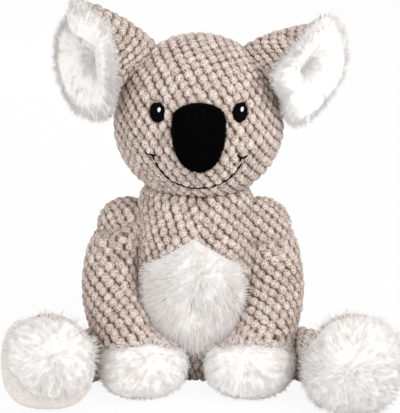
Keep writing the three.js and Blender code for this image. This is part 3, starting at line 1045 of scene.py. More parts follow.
def grid_faces(columns, rows, closed=True):
    """Faces between the points of a grid that are numbered column by column. The last column meets the first
    where the grid is closed."""
    column, row = crossings(np.arange(columns if closed else columns - 1), np.arange(rows - 1))
    here = column * rows + row
    after = (column + 1) % columns * rows + row
    return np.stack([here, after, after + 1, here + 1], axis=-1)


def wander(points, size):
    return np.stack([noise(points, size, extra) for extra in (1, 2, 3)], axis=1)


# Pile: strands with three sides that thin out to a point
strand_shares = np.array([0.0, 0.35, 0.7, 1.0])
strand_width_shares = np.array([1.0, 0.92, 0.62, 0.0])
strand_corners = [3, 3, 3, 1]
strands_each_mm2 = 0.65
fewest_tufts = 12
length_shares = (0.8, 1.2)
width_shares = (0.7, 1.3)
leader_spread_share = 1.1
tuft_way_share = 0.5  # how far a strand follows the one that leads its tuft
curl_share = 0.08
arch_share = 0.45
arch_lean = 1.5
tip_light_share = 0.15  # how far the strands' own direction and their roundness show in their light
round_light_share = 0.12
lowest_strand = 0.4
lowest_corner = 0.05
map_margin_share = 0.02
white_strands = {"look": strand_look, "spread": 0.13, "tuft": 2.2, "gather": 0.35, "half_width": 0.19}
black_strands = {"look": nap_look, "spread": 0.3, "tuft": 2.0, "gather": 0.2, "half_width": 0.13}


def between(shares, count):
    low, high = shares
    return low + (high - low) * chance.random(count)


def nearest_of(points, places):
    """Which of a few places is nearest to each point."""
    found = np.zeros(len(points), int)
    batch = 3000
    for at in range(0, len(points), batch):
        some = points[at : at + batch]
        apart = (some**2).sum(axis=1)[:, None] - 2 * some @ places.T + (places**2).sum(axis=1)[None]
        found[at : at + batch] = np.argmin(apart, axis=1)
    return found


def strand_faces():
    faces = [[0, 2, 1]]
    tip_ring = 3 * (len(strand_shares) - 2)
    for base in range(0, tip_ring, 3):
        for corner in range(3):
            after = (corner + 1) % 3
            faces.append([base + corner, base + after, base + 3 + after])
            faces.append([base + corner, base + 3 + after, base + 3 + corner])
    faces += [[tip_ring + corner, tip_ring + (corner + 1) % 3, tip_ring + 3] for corner in range(3)]
    return np.array(faces)


def pile(name, body, replaced, roots, outward, lengths, flow, lay, lift=0, lit=None, kind=white_strands):
    """Strands of pile, which gather into tufts. outward is the cloth's direction at each root, flow the way
    that the pile is combed, lay how flat it lies and lit the direction that its light comes from."""
    count = len(roots)
    spread, gather = kind["spread"], kind["gather"]
    lay = np.broadcast_to(lay, count)[:, None]
    lean = unit(outward * (1 - lay) + flow * lay)
    roots = roots + outward * np.broadcast_to(lift, count)[:, None]
    lengths = (lengths * between(length_shares, count))[:, None]
    leader_share = 1 / (kind["tuft"] ** 2 * strands_each_mm2)
    leaders = chance.permutation(count)[: max(fewest_tufts, int(count * leader_share))]
    near = nearest_of(roots, roots[leaders])
    leader_spread = leader_spread_share * spread * chance.normal(size=(len(leaders), 3))
    leader_way = unit(lean[leaders] + leader_spread)[near]
    own_way = unit(lean + spread * chance.normal(size=(count, 3)))
    way = unit((1 - tuft_way_share) * own_way + tuft_way_share * leader_way)
    tip = roots + way * lengths
    tip = tip + gather * (roots[leaders][near] + leader_way * lengths - tip)
    arch = roots + unit(arch_lean * (1 - lay) * outward + way) * lengths * arch_share
    curl = curl_share * lengths * chance.normal(size=(count, 3))
    aside = unit(np.cross(way, unit(chance.normal(size=(count, 3)))))
    other = np.cross(way, aside)
    widths = (kind["half_width"] * between(width_shares, count))[:, None]
    surface = unit((outward if lit is None else lit) + tip_light_share * way)
    points, normals = [], []
    for share, width, corners in zip(strand_shares, strand_width_shares, strand_corners):
        middle = (1 - share) ** 2 * roots + 2 * share * (1 - share) * (arch + curl) + share**2 * tip
        middle[:, 2] = np.maximum(middle[:, 2], lowest_strand)
        for turn in full_turn(3)[:corners]:
            away = aside * math.cos(turn) + other * math.sin(turn)
            points.append(middle + away * widths * width)
            normals.append(unit(surface + round_light_share * away))
    corners_each = len(points)
    points, normals = (np.stack(vectors, axis=1).reshape(-1, 3) for vectors in (points, normals))
    points[:, 2] = np.maximum(points[:, 2], lowest_corner)
    values = {
        "along": np.tile(np.repeat(strand_shares, strand_corners), count),
        "shade": np.repeat(chance.random(count), corners_each),
    }
    faces = (np.arange(count)[:, None, None] * corners_each + strand_faces()[None]).reshape(-1, 3)
    on_map = np.stack([values["shade"], values["along"]], axis=1)
    on_map = map_margin_share + (1 - 2 * map_margin_share) * on_map
    mesh_piece(name, body, kind["look"], points, faces, replaced, values, normals, on_map)


def ball_surface(centre, half, way, square):
    """The places of directions on a ball that is a little square, and its outward directions there."""
    swell = np.sum(np.abs(way) ** square, axis=1, keepdims=True) ** (-1 / square)
    outward = np.sign(way) * np.abs(way) ** (square - 1) / half
    return centre + way * swell * half, unit(outward)


def ball_roots(centre, half, within, square):
    """Random places on such a ball, evenly by area, with their outward directions."""
    power = 1.6  # gives the area of an ellipsoid to about a hundredth
    a, b, c = half**power
    area = 4 * math.pi * ((a * b + a * c + b * c) / 3) ** (1 / power)
    count = int(area * strands_each_mm2)
    way = unit(chance.normal(size=(count * 3, 3)))
    stretch = np.linalg.norm(way / half, axis=1)
    way = way[chance.random(len(way)) < stretch / stretch.max()][:count]
    points, outward = ball_surface(centre, half, way, square)
    good = within(points) > 0
    return points[good], outward[good]


streak = (1.4, 3, 4, 7, 3.2)  # its width, its salt, how far it is drawn out, in how many steps, and its scale
tuft = (3.4, 4, 5, 4, 2.6)
streak_share = 0.55
pile_depth = 5.5
fleece_rise = 4.4
short_rise_share = 0.45  # of the short pile on a foot's sole
short_relief_share = 0.3
fleece_relief = 0.85
lowest_fleece = 0.3
strand_lift = 3.0
short_lift = 0.7
sole_share = 0.3  # of the strands are left on a sole
sole_stand = 0.20
sole_stand_change = 0.14
sole_lump = 1.6
edge_reach = 4
thinnest_share = 0.05
edge_hem = 0.4
tuft_edge = 7  # the strands are longer this close to the pile's edge
parting_reach = 14


def drawn_out(points, flow, size, salt, reach, steps, scale):
    """Noise that is drawn out along a pile's flow."""
    places = np.linspace(-reach, reach, steps)
    return sum(noise(points + flow * place, size, salt) for place in places) / scale


def combed_lumps(points, flow):
    """How high a combed pile stands at each point, from -1 to 1: fine streaks along its flow in broader
    tufts."""
    streaks, tufts = (drawn_out(points, flow, *values) for values in (streak, tuft))
    return streak_share * streaks + (1 - streak_share) * tufts


def thinned(within):
    """How much of its full height a pile keeps, at places so far within its edge."""
    return np.sqrt(np.clip(within / edge_reach, thinnest_share, 1))


def combed(points, outward, pole, lay):
    """The direction along the cloth that leads away from a pole, and how flat the pile lies, which is upright
    at the pole itself."""
    away = points - pole
    away = away - outward * np.sum(away * outward, axis=1)[:, None]
    return unit(away), lay * eased(np.linalg.norm(away, axis=1) / parting_reach)


def fleece(name, body, points, outward, flow, faces, within, long=1.0):
    """The dense part of a pile, which the strands stand out of. It thins out to nothing at the pile's edge,
    and it is lower and more even where long is 0."""
    lumps = combed_lumps(points, flow)
    short_stand = sole_stand + sole_stand_change * noise(points, sole_lump, 7)
    # stand is painted shade: low in the furrows between the lumps, and low and even on a sole
    stand = (0.5 + 0.5 * lumps) * long + short_stand * (1 - long)
    rise = fleece_rise * (short_rise_share + (1 - short_rise_share) * long)
    rise = rise + fleece_relief * lumps * (short_relief_share + (1 - short_relief_share) * long)
    raised = points + outward * (rise * thinned(within))[:, None]
    raised[:, 2] = np.maximum(raised[:, 2], lowest_fleece)
    used, faces = kept_faces(points, faces, within > -edge_hem)
    mesh_piece(name, body, fleece_look, raised[used], faces, values={"stand": stand[used]})


def furred_ball(kind, limb, half, square, pole, lay, within, lengths, edge_rise_share=0.0, long=None):
    """The pile of a paw or foot. lengths are those of its short and its long strands and what its edge adds
    to them, and long is 1 where the pile is long."""
    name, body, centre = limb.name, limb.body, limb.end_centre
    sides, rings = ((300, 200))
    turn, tilt = crossings(full_turn(sides), np.linspace(0.01, math.pi - 0.01, rings))
    way = np.stack([np.sin(tilt) * np.cos(turn), np.sin(tilt) * np.sin(turn), np.cos(tilt)], axis=-1)
    points, outward = ball_surface(centre, half, way, square)
    share = 1.0 if long is None else long(points)
    faces = grid_faces(sides, rings)[:, ::-1]
    flow = combed(points, outward, pole, lay)[0]
    fleece(f"{kind}_fleece_{name}", body, points, outward, flow, faces, within(points), share)
    roots, outward = ball_roots(centre, half, within, square)
    share = np.ones(len(roots))
    if long is not None:
        share = long(roots)
        dense = chance.random(len(roots)) < sole_share + (1 - sole_share) * share
        roots, outward, share = roots[dense], outward[dense], share[dense]
    near_edge = 1 - eased(within(roots) / tuft_edge)
    short_length, long_length, edge_length = lengths
    lengths = short_length + (long_length - short_length + edge_length * near_edge) * share
    lift = (short_lift + (strand_lift - short_lift) * share) * thinned(within(roots))
    flow, lay = combed(roots, outward, pole, lay)
    lay = lay * (1 - edge_rise_share * near_edge)
    pile(f"{kind}_pile_{name}", body, [f"{kind}_fur_{name}"], roots, outward, lengths, flow, lay, lift)


paw_square = 2.35
paw_pole = np.array([-6, -16, 12])
paw_lay = 0.72
paw_lengths = (6.5, 6.5, 1.5)
paw_torso_gap = 1
paw_reach = 5  # the pile covers this much of the sleeve
paw_edge = 2.6  # the waves of its edge
paw_edge_rise_share = 0.15  # how much less flat it lies there
foot_square = 2.7
foot_lay = 0.7
foot_lengths = (2.0, 8.5, 3.0)
foot_reach = 1.5
foot_edge = 3
foot_pile_depths = np.array([2.5, 5.5, 4.5])
edge_wave = 7
disc_angle = {1: 80, -1: 56}
disc_front = {1: unit(np.array([-0.2, -1.0, 0.10])), -1: unit(np.array([0.20, -0.87, 0.45]))}
disc_wave_angle = 4
disc_edge_angle = 4


def make_paws():
    for side, limb in arms.items():
        paw = limb.end_centre

        def within(points):
            edge = paw_back + paw_reach + paw_edge * noise(points, edge_wave, 2)
            return np.minimum((points - paw) @ paw_facing + edge, torso_field(points) - paw_torso_gap)

        half, pole = paw_half - pile_depth, paw + paw_pole * [side, 1, 1]
        furred_ball("paw", limb, half, paw_square, pole, paw_lay, within, paw_lengths, paw_edge_rise_share)


def make_feet():
    for side, limb in legs.items():
        foot, way, front = limb.end_centre, mirrored(foot_facing, side), disc_front[side]
        half = foot_half - foot_pile_depths

        def within(points):
            return (points - foot) @ way + foot_back + foot_reach - foot_edge * noise(points, edge_wave, 2)

        def long(points):
            """1 on the disc of long pile at the front, and 0 on the short pile of the sole."""
            turned = np.degrees(np.arccos(np.clip(unit((points - foot) / half) @ front, -1, 1)))
            edge = disc_angle[side] + disc_wave_angle * noise(points, 5, 9)
            return eased((edge - turned) / disc_edge_angle)

        pole = foot + front * half
        furred_ball("foot", limb, half, foot_square, pole, foot_lay, within, foot_lengths, long=long)


belly_pole = np.array([4.0, 84.0])
belly_lay = 0.62
belly_length = 8.5
belly_edge_cut = 3  # the strands are shorter by this at the patch's edge
belly_lit = np.array([0.3, -0.2, 0.45])
belly_wander_share = 0.5
belly_wander = 18
belly_tries_share = 1.15
belly_edge_share = 0.99
belly_short_share = 0.75  # the strands get shorter from here
belly_short_width_share = 0.2


def belly_front(x, z):
    wide, deep, middle = torso_sides(z)
    share = np.clip(1 - np.abs(x / wide) ** torso_square, 0, 1)
    return middle - deep * share ** (1 / torso_square)


def belly_places(x, z):
    """Places on the belly, and its outward directions there."""
    step = 0.5
    slope_x = (belly_front(x + step, z) - belly_front(x - step, z)) / (2 * step)
    slope_z = (belly_front(x, z + step) - belly_front(x, z - step)) / (2 * step)
    outward = unit(np.stack([slope_x, -np.ones(len(x)), slope_z], axis=1))
    return np.stack([x, belly_front(x, z), z], axis=1), outward


def make_belly():
    pole = belly_places(*belly_pole[:, None])[0][0]

    def combing(points, outward):
        flow, lay = combed(points, outward, pole, belly_lay)
        return unit(flow + belly_wander_share * wander(points, belly_wander)), lay

    columns, rows = ((190, 220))
    x, z = crossings(np.linspace(-1, 1, columns), np.linspace(-1, 1, rows))
    x, z = belly_aside + x * belly_half_width, belly_middle + z * belly_half_height
    points, outward = belly_places(x, z)
    faces = grid_faces(columns, rows, closed=False)
    within = (1 - belly_share(x, z)) * belly_half_width
    fleece("belly_fleece", "torso", points, outward, combing(points, outward)[0], faces, within)
    tries = int(4 * belly_half_width * belly_half_height * belly_tries_share * strands_each_mm2)
    x = belly_aside + between((-1, 1), tries) * belly_half_width
    z = belly_middle + between((-1, 1), tries) * belly_half_height
    share = belly_share(x, z)
    inside = share < belly_edge_share
    x, z, share = x[inside], z[inside], share[inside]
    roots, outward = belly_places(x, z)
    lift = strand_lift * thinned((1 - share) * belly_half_width)
    lengths = belly_length - belly_edge_cut * eased((share - belly_short_share) / belly_short_width_share)
    lit = unit(outward + belly_lit)
    pile("belly_pile", "torso", ["belly_fur"], roots, outward, lengths, *combing(roots, outward), lift, lit)


# Face
def on_face(out, up, stand_off):
    half_height = (crown_height if up > 0 else chin_depth) + stand_off
    left = 1 - (out / (head_half_width + stand_off)) ** 2 - (up / half_height) ** 2
    forward = (head_half_depth + stand_off) * math.sqrt(max(left, 0))
    return head_centre + [out, -forward, up]


def tube(points, radius, sides=6):
    """A closed thread along points."""
    points = np.asarray(points, float)
    count = len(points)
    way = unit(np.gradient(points, axis=0))
    up = np.where(np.abs(way[:, 1:2]) > 0.9, [[0, 0, 1.0]], [[0, 1.0, 0]])
    aside = unit(np.cross(way, up))
    other = np.cross(aside, way)
    turn = full_turn(sides)[:, None, None]
    spokes = aside * np.cos(turn) + other * np.sin(turn)
    wall = points + np.broadcast_to(radius, count)[:, None] * spokes
    faces = grid_faces(sides, count)
    side = count * np.arange(sides)
    after = np.roll(side, -1)
    start = np.stack([np.full(sides, sides * count), after, side], axis=1)
    end = np.stack([np.full(sides, sides * count + 1), side, after], axis=1) + [0, count - 1, count - 1]
    faces = np.concatenate([faces[:, [0, 1, 2]], faces[:, [0, 2, 3]], start, end])
    return np.concatenate([wall.reshape(-1, 3), points[:1], points[-1:]]), faces


def thread_piece(name, body, look, replaced, threads):
    points, faces, offset = [], [], 0
    for some_points, some_faces in threads:
        points.append(some_points)
        faces.append(some_faces + offset)
        offset += len(some_points)
    mesh_piece(name, body, look, np.concatenate(points), np.concatenate(faces), [replaced])


def stitched_oval(out, up, half_width, half_height, lift, pitch, radius, ragged):
    """Satin stitches side by side across an oval of the face."""
    across = np.linspace(-1, 1, 9)
    for row in range(int(half_height * 2 / pitch)):
        height = -half_height + (row + 0.5) * pitch
        width = half_width * math.sqrt(max(1 - (height / half_height) ** 2, 0.02))
        start, end = (width + ragged * (chance.random() - 0.35) for _ in range(2))
        line = []
        for share in across:
            dome = 0.9 * math.sqrt(1 - share**2) * width / half_width
            reach = share * (end if share > 0 else start)
            line.append(on_face(out + reach, up + height + 0.25 * share, lift + dome))
        yield tube(line, radius * np.sqrt(np.maximum(1 - across**6, 0.3)))


eye_ragged_edge = 0.5
glint_half = np.array([1.1, 1.5])
glint_out = 1.3
glint_lift = 2.2


def make_eyes():
    for side, name in names.items():
        out, (half_width, half_height) = side * eye_out, eye_half
        stitches = {"lift": 0.3, "pitch": 0.42, "radius": 0.32, "ragged": 1.3}
        eye = stitched_oval(out, eye_lift, half_width, half_height - eye_ragged_edge, **stitches)
        thread_piece(f"eye_stitches_{name}", "head", black_look, f"eye_{name}", eye)
        stitches = {"lift": 1.2, "pitch": 0.36, "radius": 0.28, "ragged": 0.3}
        glint = stitched_oval(out + glint_out, eye_lift + glint_lift, *glint_half, **stitches)
        thread_piece(f"glint_stitches_{name}", "head", white_look, f"eye_glint_{name}", glint)


# The mouth's corners: short stitches, each from one place of the face to another, out and up from its middle
corner_stitches = [
    ((28.6, -15.4), (29.2, -13.2)),
    ((29.2, -13.2), (33.6, -12.0)),
    ((29.2, -13.2), (27.0, -10.2)),
    ((-36.6, -10.4), (-29.8, -11.2)),
    ((-32.0, -11.0), (-31.0, -14.6)),
]
thread_radius = 0.66
mouth_stitches = 15
mouth_gap_share = 0.03


def face_stitch(place, count, top, dip):
    """One stitch of thread over the face, which dips into the cloth at both of its ends."""
    line = []
    for share in np.linspace(0, 1, count):
        out, up = place(share)
        line.append(on_face(out, up, top - dip * abs(2 * share - 1) ** 3))
    return tube(line, thread_radius)


def make_mouth():
    spread = math.asin(mouth_half_width / mouth_radius)
    threads = []
    for stitch in range(mouth_stitches):

        def on_arc(share):
            along = stitch + mouth_gap_share + (1 - 2 * mouth_gap_share) * share
            turn = spread * (2 * along / mouth_stitches - 1)
            return mouth_radius * math.sin(turn), mouth_radius * (1 - math.cos(turn)) - mouth_drop

        threads.append(face_stitch(on_arc, count=7, top=0.9, dip=1.3))
    for start, end in np.array(corner_stitches):
        threads.append(face_stitch(lambda share: start + share * (end - start), count=6, top=1.5, dip=1.2))
    thread_piece("mouth_stitches", "head", black_look, "mouth_thread", threads)


nose_half_width = 18.5
nose_half_height = 24.5
nose_stand_off = 12
nose_lift = 3.4
nose_rounding = 5
nose_width_shares = [0.42, 0.86, 0.98, 1, 0.98, 0.92, 0.81, 0.62, 0.28]
nose_sink = 0.5
nose_seam_rounding = 2
nose_step = 0.8
nap_strands = 7000
nap_length = 1.5
nap_lay = 0.5
nap_droop = np.array([0, 0, -1.5])
nap_sink = 0.4
nap_scatter = 0.3


def nose_field(points):
    place = points - on_face(0, nose_lift, 0)
    share = (nose_half_height - place[:, 2]) / (2 * nose_half_height)
    swell = np.maximum(spline(nose_width_shares, share), 0.1)
    ring = np.hypot(place[:, 0] / (nose_half_width * swell), place[:, 1] / (nose_stand_off * swell))
    body = cut((ring - 1) * nose_stand_off * swell, np.abs(place[:, 2]) - nose_half_height, nose_rounding)
    return cut(body, -nose_sink - head_field(points), nose_seam_rounding)


def make_nose():
    middle = on_face(0, nose_lift, 0)
    reach = np.array([nose_half_width, nose_stand_off, nose_half_height]) + 2
    points, faces = surface_net(nose_field, middle - reach, middle + reach, nose_step)
    points = settled(nose_field, points, nose_step)
    outward = unit(slope(nose_field, points, 0.5))
    points = points + outward * (0.12 * noise(points, 1.2, 9) + 0.25 * noise(points, 9, 4))[:, None]
    replaced = ["nose_cover", "nose_stuffing"]
    mesh_piece("nose_velvet", "head", velvet_look, points, faces, replaced)
    picked = chance.choice(np.flatnonzero(head_field(points) > nose_sink), nap_strands)
    ways = outward[picked]
    roots = points[picked] + nap_scatter * chance.normal(size=(nap_strands, 3)) - nap_sink * ways
    flow = unit(ways + nap_droop)
    pile("nose_nap", "head", [], roots, ways, nap_length, flow, nap_lay, kind=black_strands)


# Ears: a funnel of bobble fabric that opens from a long root on the head to a round rim, filled with pile
ear_facing = {1: unit(np.array([0.67, -0.72, -0.18])), -1: unit(np.array([-0.7, -0.71, 0.0]))}
ear_rim_middle = {1: np.array([74.9, -20.9, 227.0]), -1: np.array([-71.8, -20.6, 232.2])}
ear_radius = 40
ear_rim_shares = {  # from the right, up
    1: [0.925, 0.925, 0.975, 0.95, 0.7, 0.55, 0.525, 0.6, 0.65, 0.525, 0.5, 0.675, 0.85, 0.825, 0.8, 0.85],
    -1: [0.5, 0.5, 0.6, 0.85, 1.075, 1, 0.875, 0.825, 0.8, 0.8, 0.825, 0.85, 0.825, 0.825, 0.7, 0.55],
}
ear_hollow = {1: np.array([12.0, 2.0]), -1: np.array([-9.0, 3.0])}
ear_root_middle = np.array([37.0, 2.0, 230.0])
ear_root_half_length = 12
ear_root_half_width = 9
ear_flare_power = 0.9
hollow_depth = 10
rim_roll = 4.0
rim_share = 0.5  # the lining goes this far round the rim, as a share of its way from the hollow
lobe_depth = 15
lobe_start, lobe_end = 58, 108  # degrees round the ear
lobe_start_width, lobe_end_width = 22, 9
recess_depth = 7
recess_angle = 120
recess_width = 13
lid_inset = 1.5
ear_row_angle = 30
ear_spread_share = 0.62
ear_cloth_start = 12
rim_bend = 48  # degrees that the pile leans outwards at the rim
back_bend = 107
lining_depth = 3.6
rim_depth = 1.8
back_depth = 4.2
ear_sink = 1.6
ear_rim_sink = 1.2
ear_length = 8.0
ear_strand_count_shares = (1.2, 2.4)  # of the usual number, in the hollow and round the rim
ear_rim_band = 11


def rim_radius(side, turn):
    table = np.array(ear_rim_shares[side]) * ear_radius
    place = np.mod(turn / (2 * math.pi), 1) * len(table)
    cell = np.floor(place).astype(int)
    before, start, end, after = (table[(cell + step) % len(table)] for step in (-1, 0, 1, 2))
    return hermite(start, end, (end - before) / 2, (after - start) / 2, place - cell)


def ear_axes(side):
    facing = ear_facing[side]
    up = unit(np.array([0, 0, 1.0]) - facing * facing[2])
    return np.cross(up, facing), up, facing


def funnel(side, turn, run):
    """A place on the back of an ear: round it, and along it from its root to its rim."""
    across, up, _ = ear_axes(side)
    root_across = np.array([0, side, 0.0])
    root_up = unit(np.array([-side * 0.68, 0, 0.73]))
    root = ear_root_middle * [side, 1, 1] + [head_centre[0], 0, 0]
    run = run[:, None]
    edge = rim_radius(side, turn)[:, None]
    flare = run**ear_flare_power
    wide = ear_root_half_width + (edge - ear_root_half_width) * flare
    tall = ear_root_half_length + (edge - ear_root_half_length) * flare
    aside = wide * unit(root_across * (1 - run) + across * run) * np.cos(turn)[:, None]
    upward = tall * unit(root_up * (1 - run) + up * run) * np.sin(turn)[:, None]
    return root + (ear_rim_middle[side] - root) * run + aside + upward


def lobe(angle):
    """How far the koala's right ear folds forwards at its top, and back beside that."""
    fold = eased((angle - lobe_start) / lobe_start_width) * eased((lobe_end - angle) / lobe_end_width)
    return lobe_depth * fold - recess_depth * np.exp(-(((angle - recess_angle) / recess_width) ** 2))


def bowl(side, turn, share):
    """A place on the front of an ear: round its hollow, and from the hollow, 0, to the rim, 1."""
    across, up, facing = ear_axes(side)
    edge = rim_radius(side, turn) * share
    u = ear_hollow[side][0] * (1 - share) + edge * np.cos(turn)
    v = ear_hollow[side][1] * (1 - share) + edge * np.sin(turn)
    w = -hollow_depth * (1 - share**2) ** 1.5 + rim_roll * eased(share * 2) * (1 - eased(share * 4 - 3))
    if side < 0:
        w = w + lobe(np.degrees(np.mod(turn, 2 * math.pi))) * eased((share - 0.3) / 0.3) * (1 - 0.3 * share)
    return ear_rim_middle[side] + u[:, None] * across + v[:, None] * up + w[:, None] * facing


def numeric_normal(surface, side, turn, share, toward):
    step = 0.01
    d_turn = surface(side, turn + step, share) - surface(side, turn - step, share)
    d_share = surface(side, turn, share + step) - surface(side, turn, share - step)
    normal = unit(np.cross(d_turn, d_share))
    return normal * np.sign(np.sum(normal * toward, axis=1))[:, None]


def ear_back(side, name):
    sides, steps, lid_steps = ((280, 74, 14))
    turn, run = crossings(full_turn(sides), np.linspace(0, 1, steps))
    points = funnel(side, turn, run)
    middle = points - funnel(side, turn + math.pi, run)
    outward = numeric_normal(funnel, side, turn, np.clip(run, 0.011, 0.989), middle)
    slant = np.linalg.norm(points - funnel(side, turn, np.zeros(len(turn))), axis=1) + ear_cloth_start
    spread = ear_spread_share * (turn - math.pi)
    height, shade = rowed(slant * np.cos(spread), slant * np.sin(spread), ear_row_angle, 40 + side)
    bobbled = points + outward * (height * bobble_height - skin_inset + fuzz(points))[:, None]
    lid_turn, lid_share = crossings(full_turn(sides), np.linspace(1, 0.02, lid_steps))
    lid = bowl(side, lid_turn, lid_share) - ear_facing[side] * lid_inset
    rim = np.arange(sides) * steps + steps - 1
    lid_rim = np.arange(sides) * lid_steps + len(bobbled)
    edge = np.stack([rim, np.roll(rim, -1), np.roll(lid_rim, -1), lid_rim], axis=-1)
    faces = np.concatenate([grid_faces(sides, steps), grid_faces(sides, lid_steps) + len(bobbled), edge])
    flat = np.full(len(lid), pressed_stand)
    values = {
        "stand": np.concatenate([height + uneven(points), flat]),
        "shade": np.concatenate([shade, flat]),
    }
    points, replaced = np.concatenate([bobbled, lid]), [f"ear_back_{name}"]
    mesh_piece(f"ear_back_skin_{name}", f"ear_{name}", bobble_look, points, faces, replaced, values)


def corner_normals(points, faces):
    """The direction of the surface at each corner of four-sided faces."""
    across = points[faces[:, 2]] - points[faces[:, 0]]
    along = points[faces[:, 3]] - points[faces[:, 1]]
    found = np.zeros(points.shape)
    for corner in faces.T:
        np.add.at(found, corner, np.cross(across, along))
    return unit(found)


def ear_lining(side, turn, share):
    """A place on the lining of an ear, the direction in which its pile stands, the direction towards the rim
    and how deep the pile is. Shares above 1 go round the rim to its back."""
    facing = ear_facing[side]
    base = bowl(side, turn, np.minimum(share, 1))
    away = base - bowl(side, np.zeros(1), np.zeros(1))
    radial = unit(away - np.sum(away * facing, axis=1)[:, None] * facing)
    rim = eased((share - 0.5) / 0.5)
    past_rim = np.clip((share - 1) / rim_share, 0, 1)
    bend = np.radians(rim_bend * rim + back_bend * past_rim)[:, None]
    depth = lining_depth + rim_depth * rim - back_depth * past_rim**0.7
    return base, facing * np.cos(bend) + radial * np.sin(bend), radial, depth


def ear_nap(side, outward, normals):
    """The directions that the front of an ear's pile is lit from. Its back keeps its own."""
    front = eased(outward @ ear_facing[side] / 0.6)[:, None]
    return unit(normals + 1.6 * front * unit(ear_facing[side] + [0, -0.4, 0.4]))


def ear_pile(side, name):
    sides, steps = ((420, 76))
    turn, share = crossings(full_turn(sides), np.linspace(0.01, 1 + rim_share, steps))
    base, outward, radial, depth = ear_lining(side, turn, share)
    lumps = combed_lumps(base, radial)
    relief = 0.8 + 0.9 * eased((share - 0.8) / 0.2) - 1.2 * eased((share - 1) / rim_share)
    points = base + outward * (depth + relief * lumps)[:, None]
    faces = grid_faces(sides, steps)[:, ::-1]
    normals = ear_nap(side, outward, corner_normals(points, faces))
    # stand paints shade into the ear's fleece, greyer in its furrows
    values = {"stand": 0.5 + 0.5 * lumps}
    body = f"ear_{name}"
    mesh_piece(f"ear_fleece_{name}", body, fleece_look, points, faces, values=values, normals=normals)
    mean_radius = np.mean(ear_rim_shares[side]) * ear_radius
    inner_share, outer_share = ear_strand_count_shares
    inner = int(math.pi * mean_radius**2 * inner_share * strands_each_mm2)
    outer = int(2 * math.pi * mean_radius * ear_rim_band * outer_share * strands_each_mm2)
    turn = 2 * math.pi * chance.random(inner + outer)
    share = np.concatenate([np.sqrt(between((0.0004, 1), inner)), between((0.84, 1.44), outer)])
    base, outward, radial, depth = ear_lining(side, turn, share)
    rim = eased((share - 0.8) / 0.2)
    roots = base + outward * (depth - ear_sink - ear_rim_sink * rim)[:, None]
    flow = unit(radial + 0.25 * wander(base, 14))
    lay = (0.75 - 0.35 * rim) * eased(share / 0.45)
    lit = ear_nap(side, outward, outward)
    replaced = [f"ear_fur_{name}"]
    pile(f"ear_pile_{name}", body, replaced, roots, outward, ear_length - rim, flow, lay, lit=lit)


def make_ears():
    for side, name in names.items():
        ear_back(side, name)
        ear_pile(side, name)


neck_centre = np.array([2.0, 0, 137])
neck_radius = 21.5
neck_row_angle = -50


def make_neck():
    def cloth(points):
        place = points - neck_centre
        around = np.arctan2(place[:, 0], -place[:, 1]) * neck_radius
        return rowed(around, place[:, 2], neck_row_angle, 51)

    def field(points):
        return ellipsoid_field(points, neck_centre, [neck_radius] * 3)

    low, high = neck_centre - neck_radius - 1, neck_centre + neck_radius + 1
    bobble_skin("neck_roll", "neck", ["neck_stuffing"], field, low, high, cloth)


seam_stitches = 10
seam_pitch = 5
seam_half_width = 2
seam_thread_radius = 0.55
seam_stand_off = 0.9


def make_closing_seam():
    """A zigzag of thread up the middle of the back."""
    bottom = (torso_height - seam_stitches * seam_pitch) / 2
    threads = []
    for stitch in range(seam_stitches):
        share = np.linspace(0, 1, 7)
        height = bottom + (stitch + share) * seam_pitch
        _, deep, middle = torso_sides(height)
        out = (1 if stitch % 2 else -1) * seam_half_width * (1 - 2 * share)
        line = np.stack([out, middle + deep + seam_stand_off, height], axis=1)
        threads.append(tube(line, seam_thread_radius))
    thread_piece("closing_seam_stitches", "torso", black_look, "closing_stitch", threads)


make_head()
make_torso()
make_arms()
make_legs()
make_neck()
make_nose()
make_eyes()
make_mouth()
make_ears()
make_belly()
make_paws()
make_feet()
make_closing_seam()


# Floor, light and camera
floor_half = 6.0
floor_clear_share = 0.93  # the camera sees the white behind the floor, under the object's shadow
world_strength = 0.53
lamp_target = (0, 0, 0.12)
camera_lens = 143.3
camera_tilt = math.radians(16)
camera_distance = 1.2
camera_target = Vector((0.0029, 0, 0.1234))


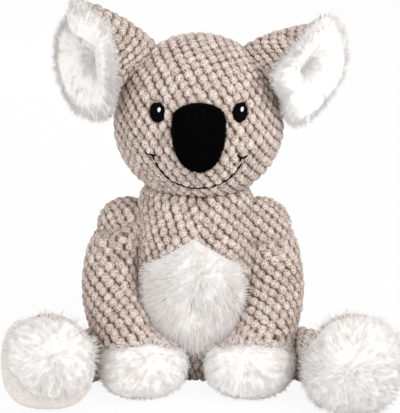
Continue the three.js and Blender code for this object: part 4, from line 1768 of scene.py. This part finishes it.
def make_floor():
    mesh = bpy.data.meshes.new("floor")
    corners = [(x * floor_half, y * floor_half, 0) for x, y in ((-1, -1), (1, -1), (1, 1), (-1, 1))]
    mesh.from_pydata(corners, [], [(0, 1, 2, 3)])
    floor = bpy.data.objects.new("floor", mesh)
    bpy.context.scene.collection.objects.link(floor)
    material = bpy.data.materials.new("floor")
    tree = NodeTree(material, "OutputMaterial")
    matt = tree.node("BsdfDiffuse", {"Color": (0.92, 0.92, 0.92, 1)})
    tree.show(tree.for_rays(["Is Camera Ray"], floor_clear_share, matt, tree.node("BsdfTransparent")))
    mesh.materials.append(material)
    floor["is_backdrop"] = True


def make_world():
    world = bpy.data.worlds.new("studio")
    bpy.context.scene.world = world
    tree = NodeTree(world, "OutputWorld")
    light = tree.node("Background", {"Color": (1.0, 0.985, 0.97, 1), "Strength": world_strength})
    white = tree.node("Background", {"Color": (1, 1, 1, 1)})
    tree.show(tree.for_rays(["Is Camera Ray", "Is Glossy Ray", "Is Transmission Ray"], 1, light, white))


def aimed(holder, place, target):
    holder.location = place
    holder.rotation_mode = "QUATERNION"
    holder.rotation_quaternion = (Vector(target) - Vector(place)).to_track_quat("-Z", "Y")
    bpy.context.scene.collection.objects.link(holder)


def make_lamp(name, place, size, power):
    lamp = bpy.data.lights.new(name, "AREA")
    lamp.shape = "DISK"
    lamp.size = size
    lamp.energy = power
    aimed(bpy.data.objects.new(name, lamp), place, lamp_target)


def make_camera():
    camera = bpy.data.cameras.new("camera")
    camera.lens = camera_lens
    holder = bpy.data.objects.new("camera", camera)
    away = Vector((0, -math.cos(camera_tilt), math.sin(camera_tilt))) * camera_distance
    aimed(holder, camera_target + away, camera_target)
    bpy.context.scene.camera = holder


make_floor()
make_world()
make_lamp("key", (0.8, -1.05, 1.3), 1.5, 20)
make_lamp("fill", (-0.7, -1.3, 0.5), 1.0, 5.5)
make_lamp("back", (-0.3, 1.5, 1.1), 1.0, 7)
make_camera()

bpy.context.scene.view_settings.view_transform = "Standard"
[[list(corner) for corner in box] for box in (cad_box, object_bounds())]
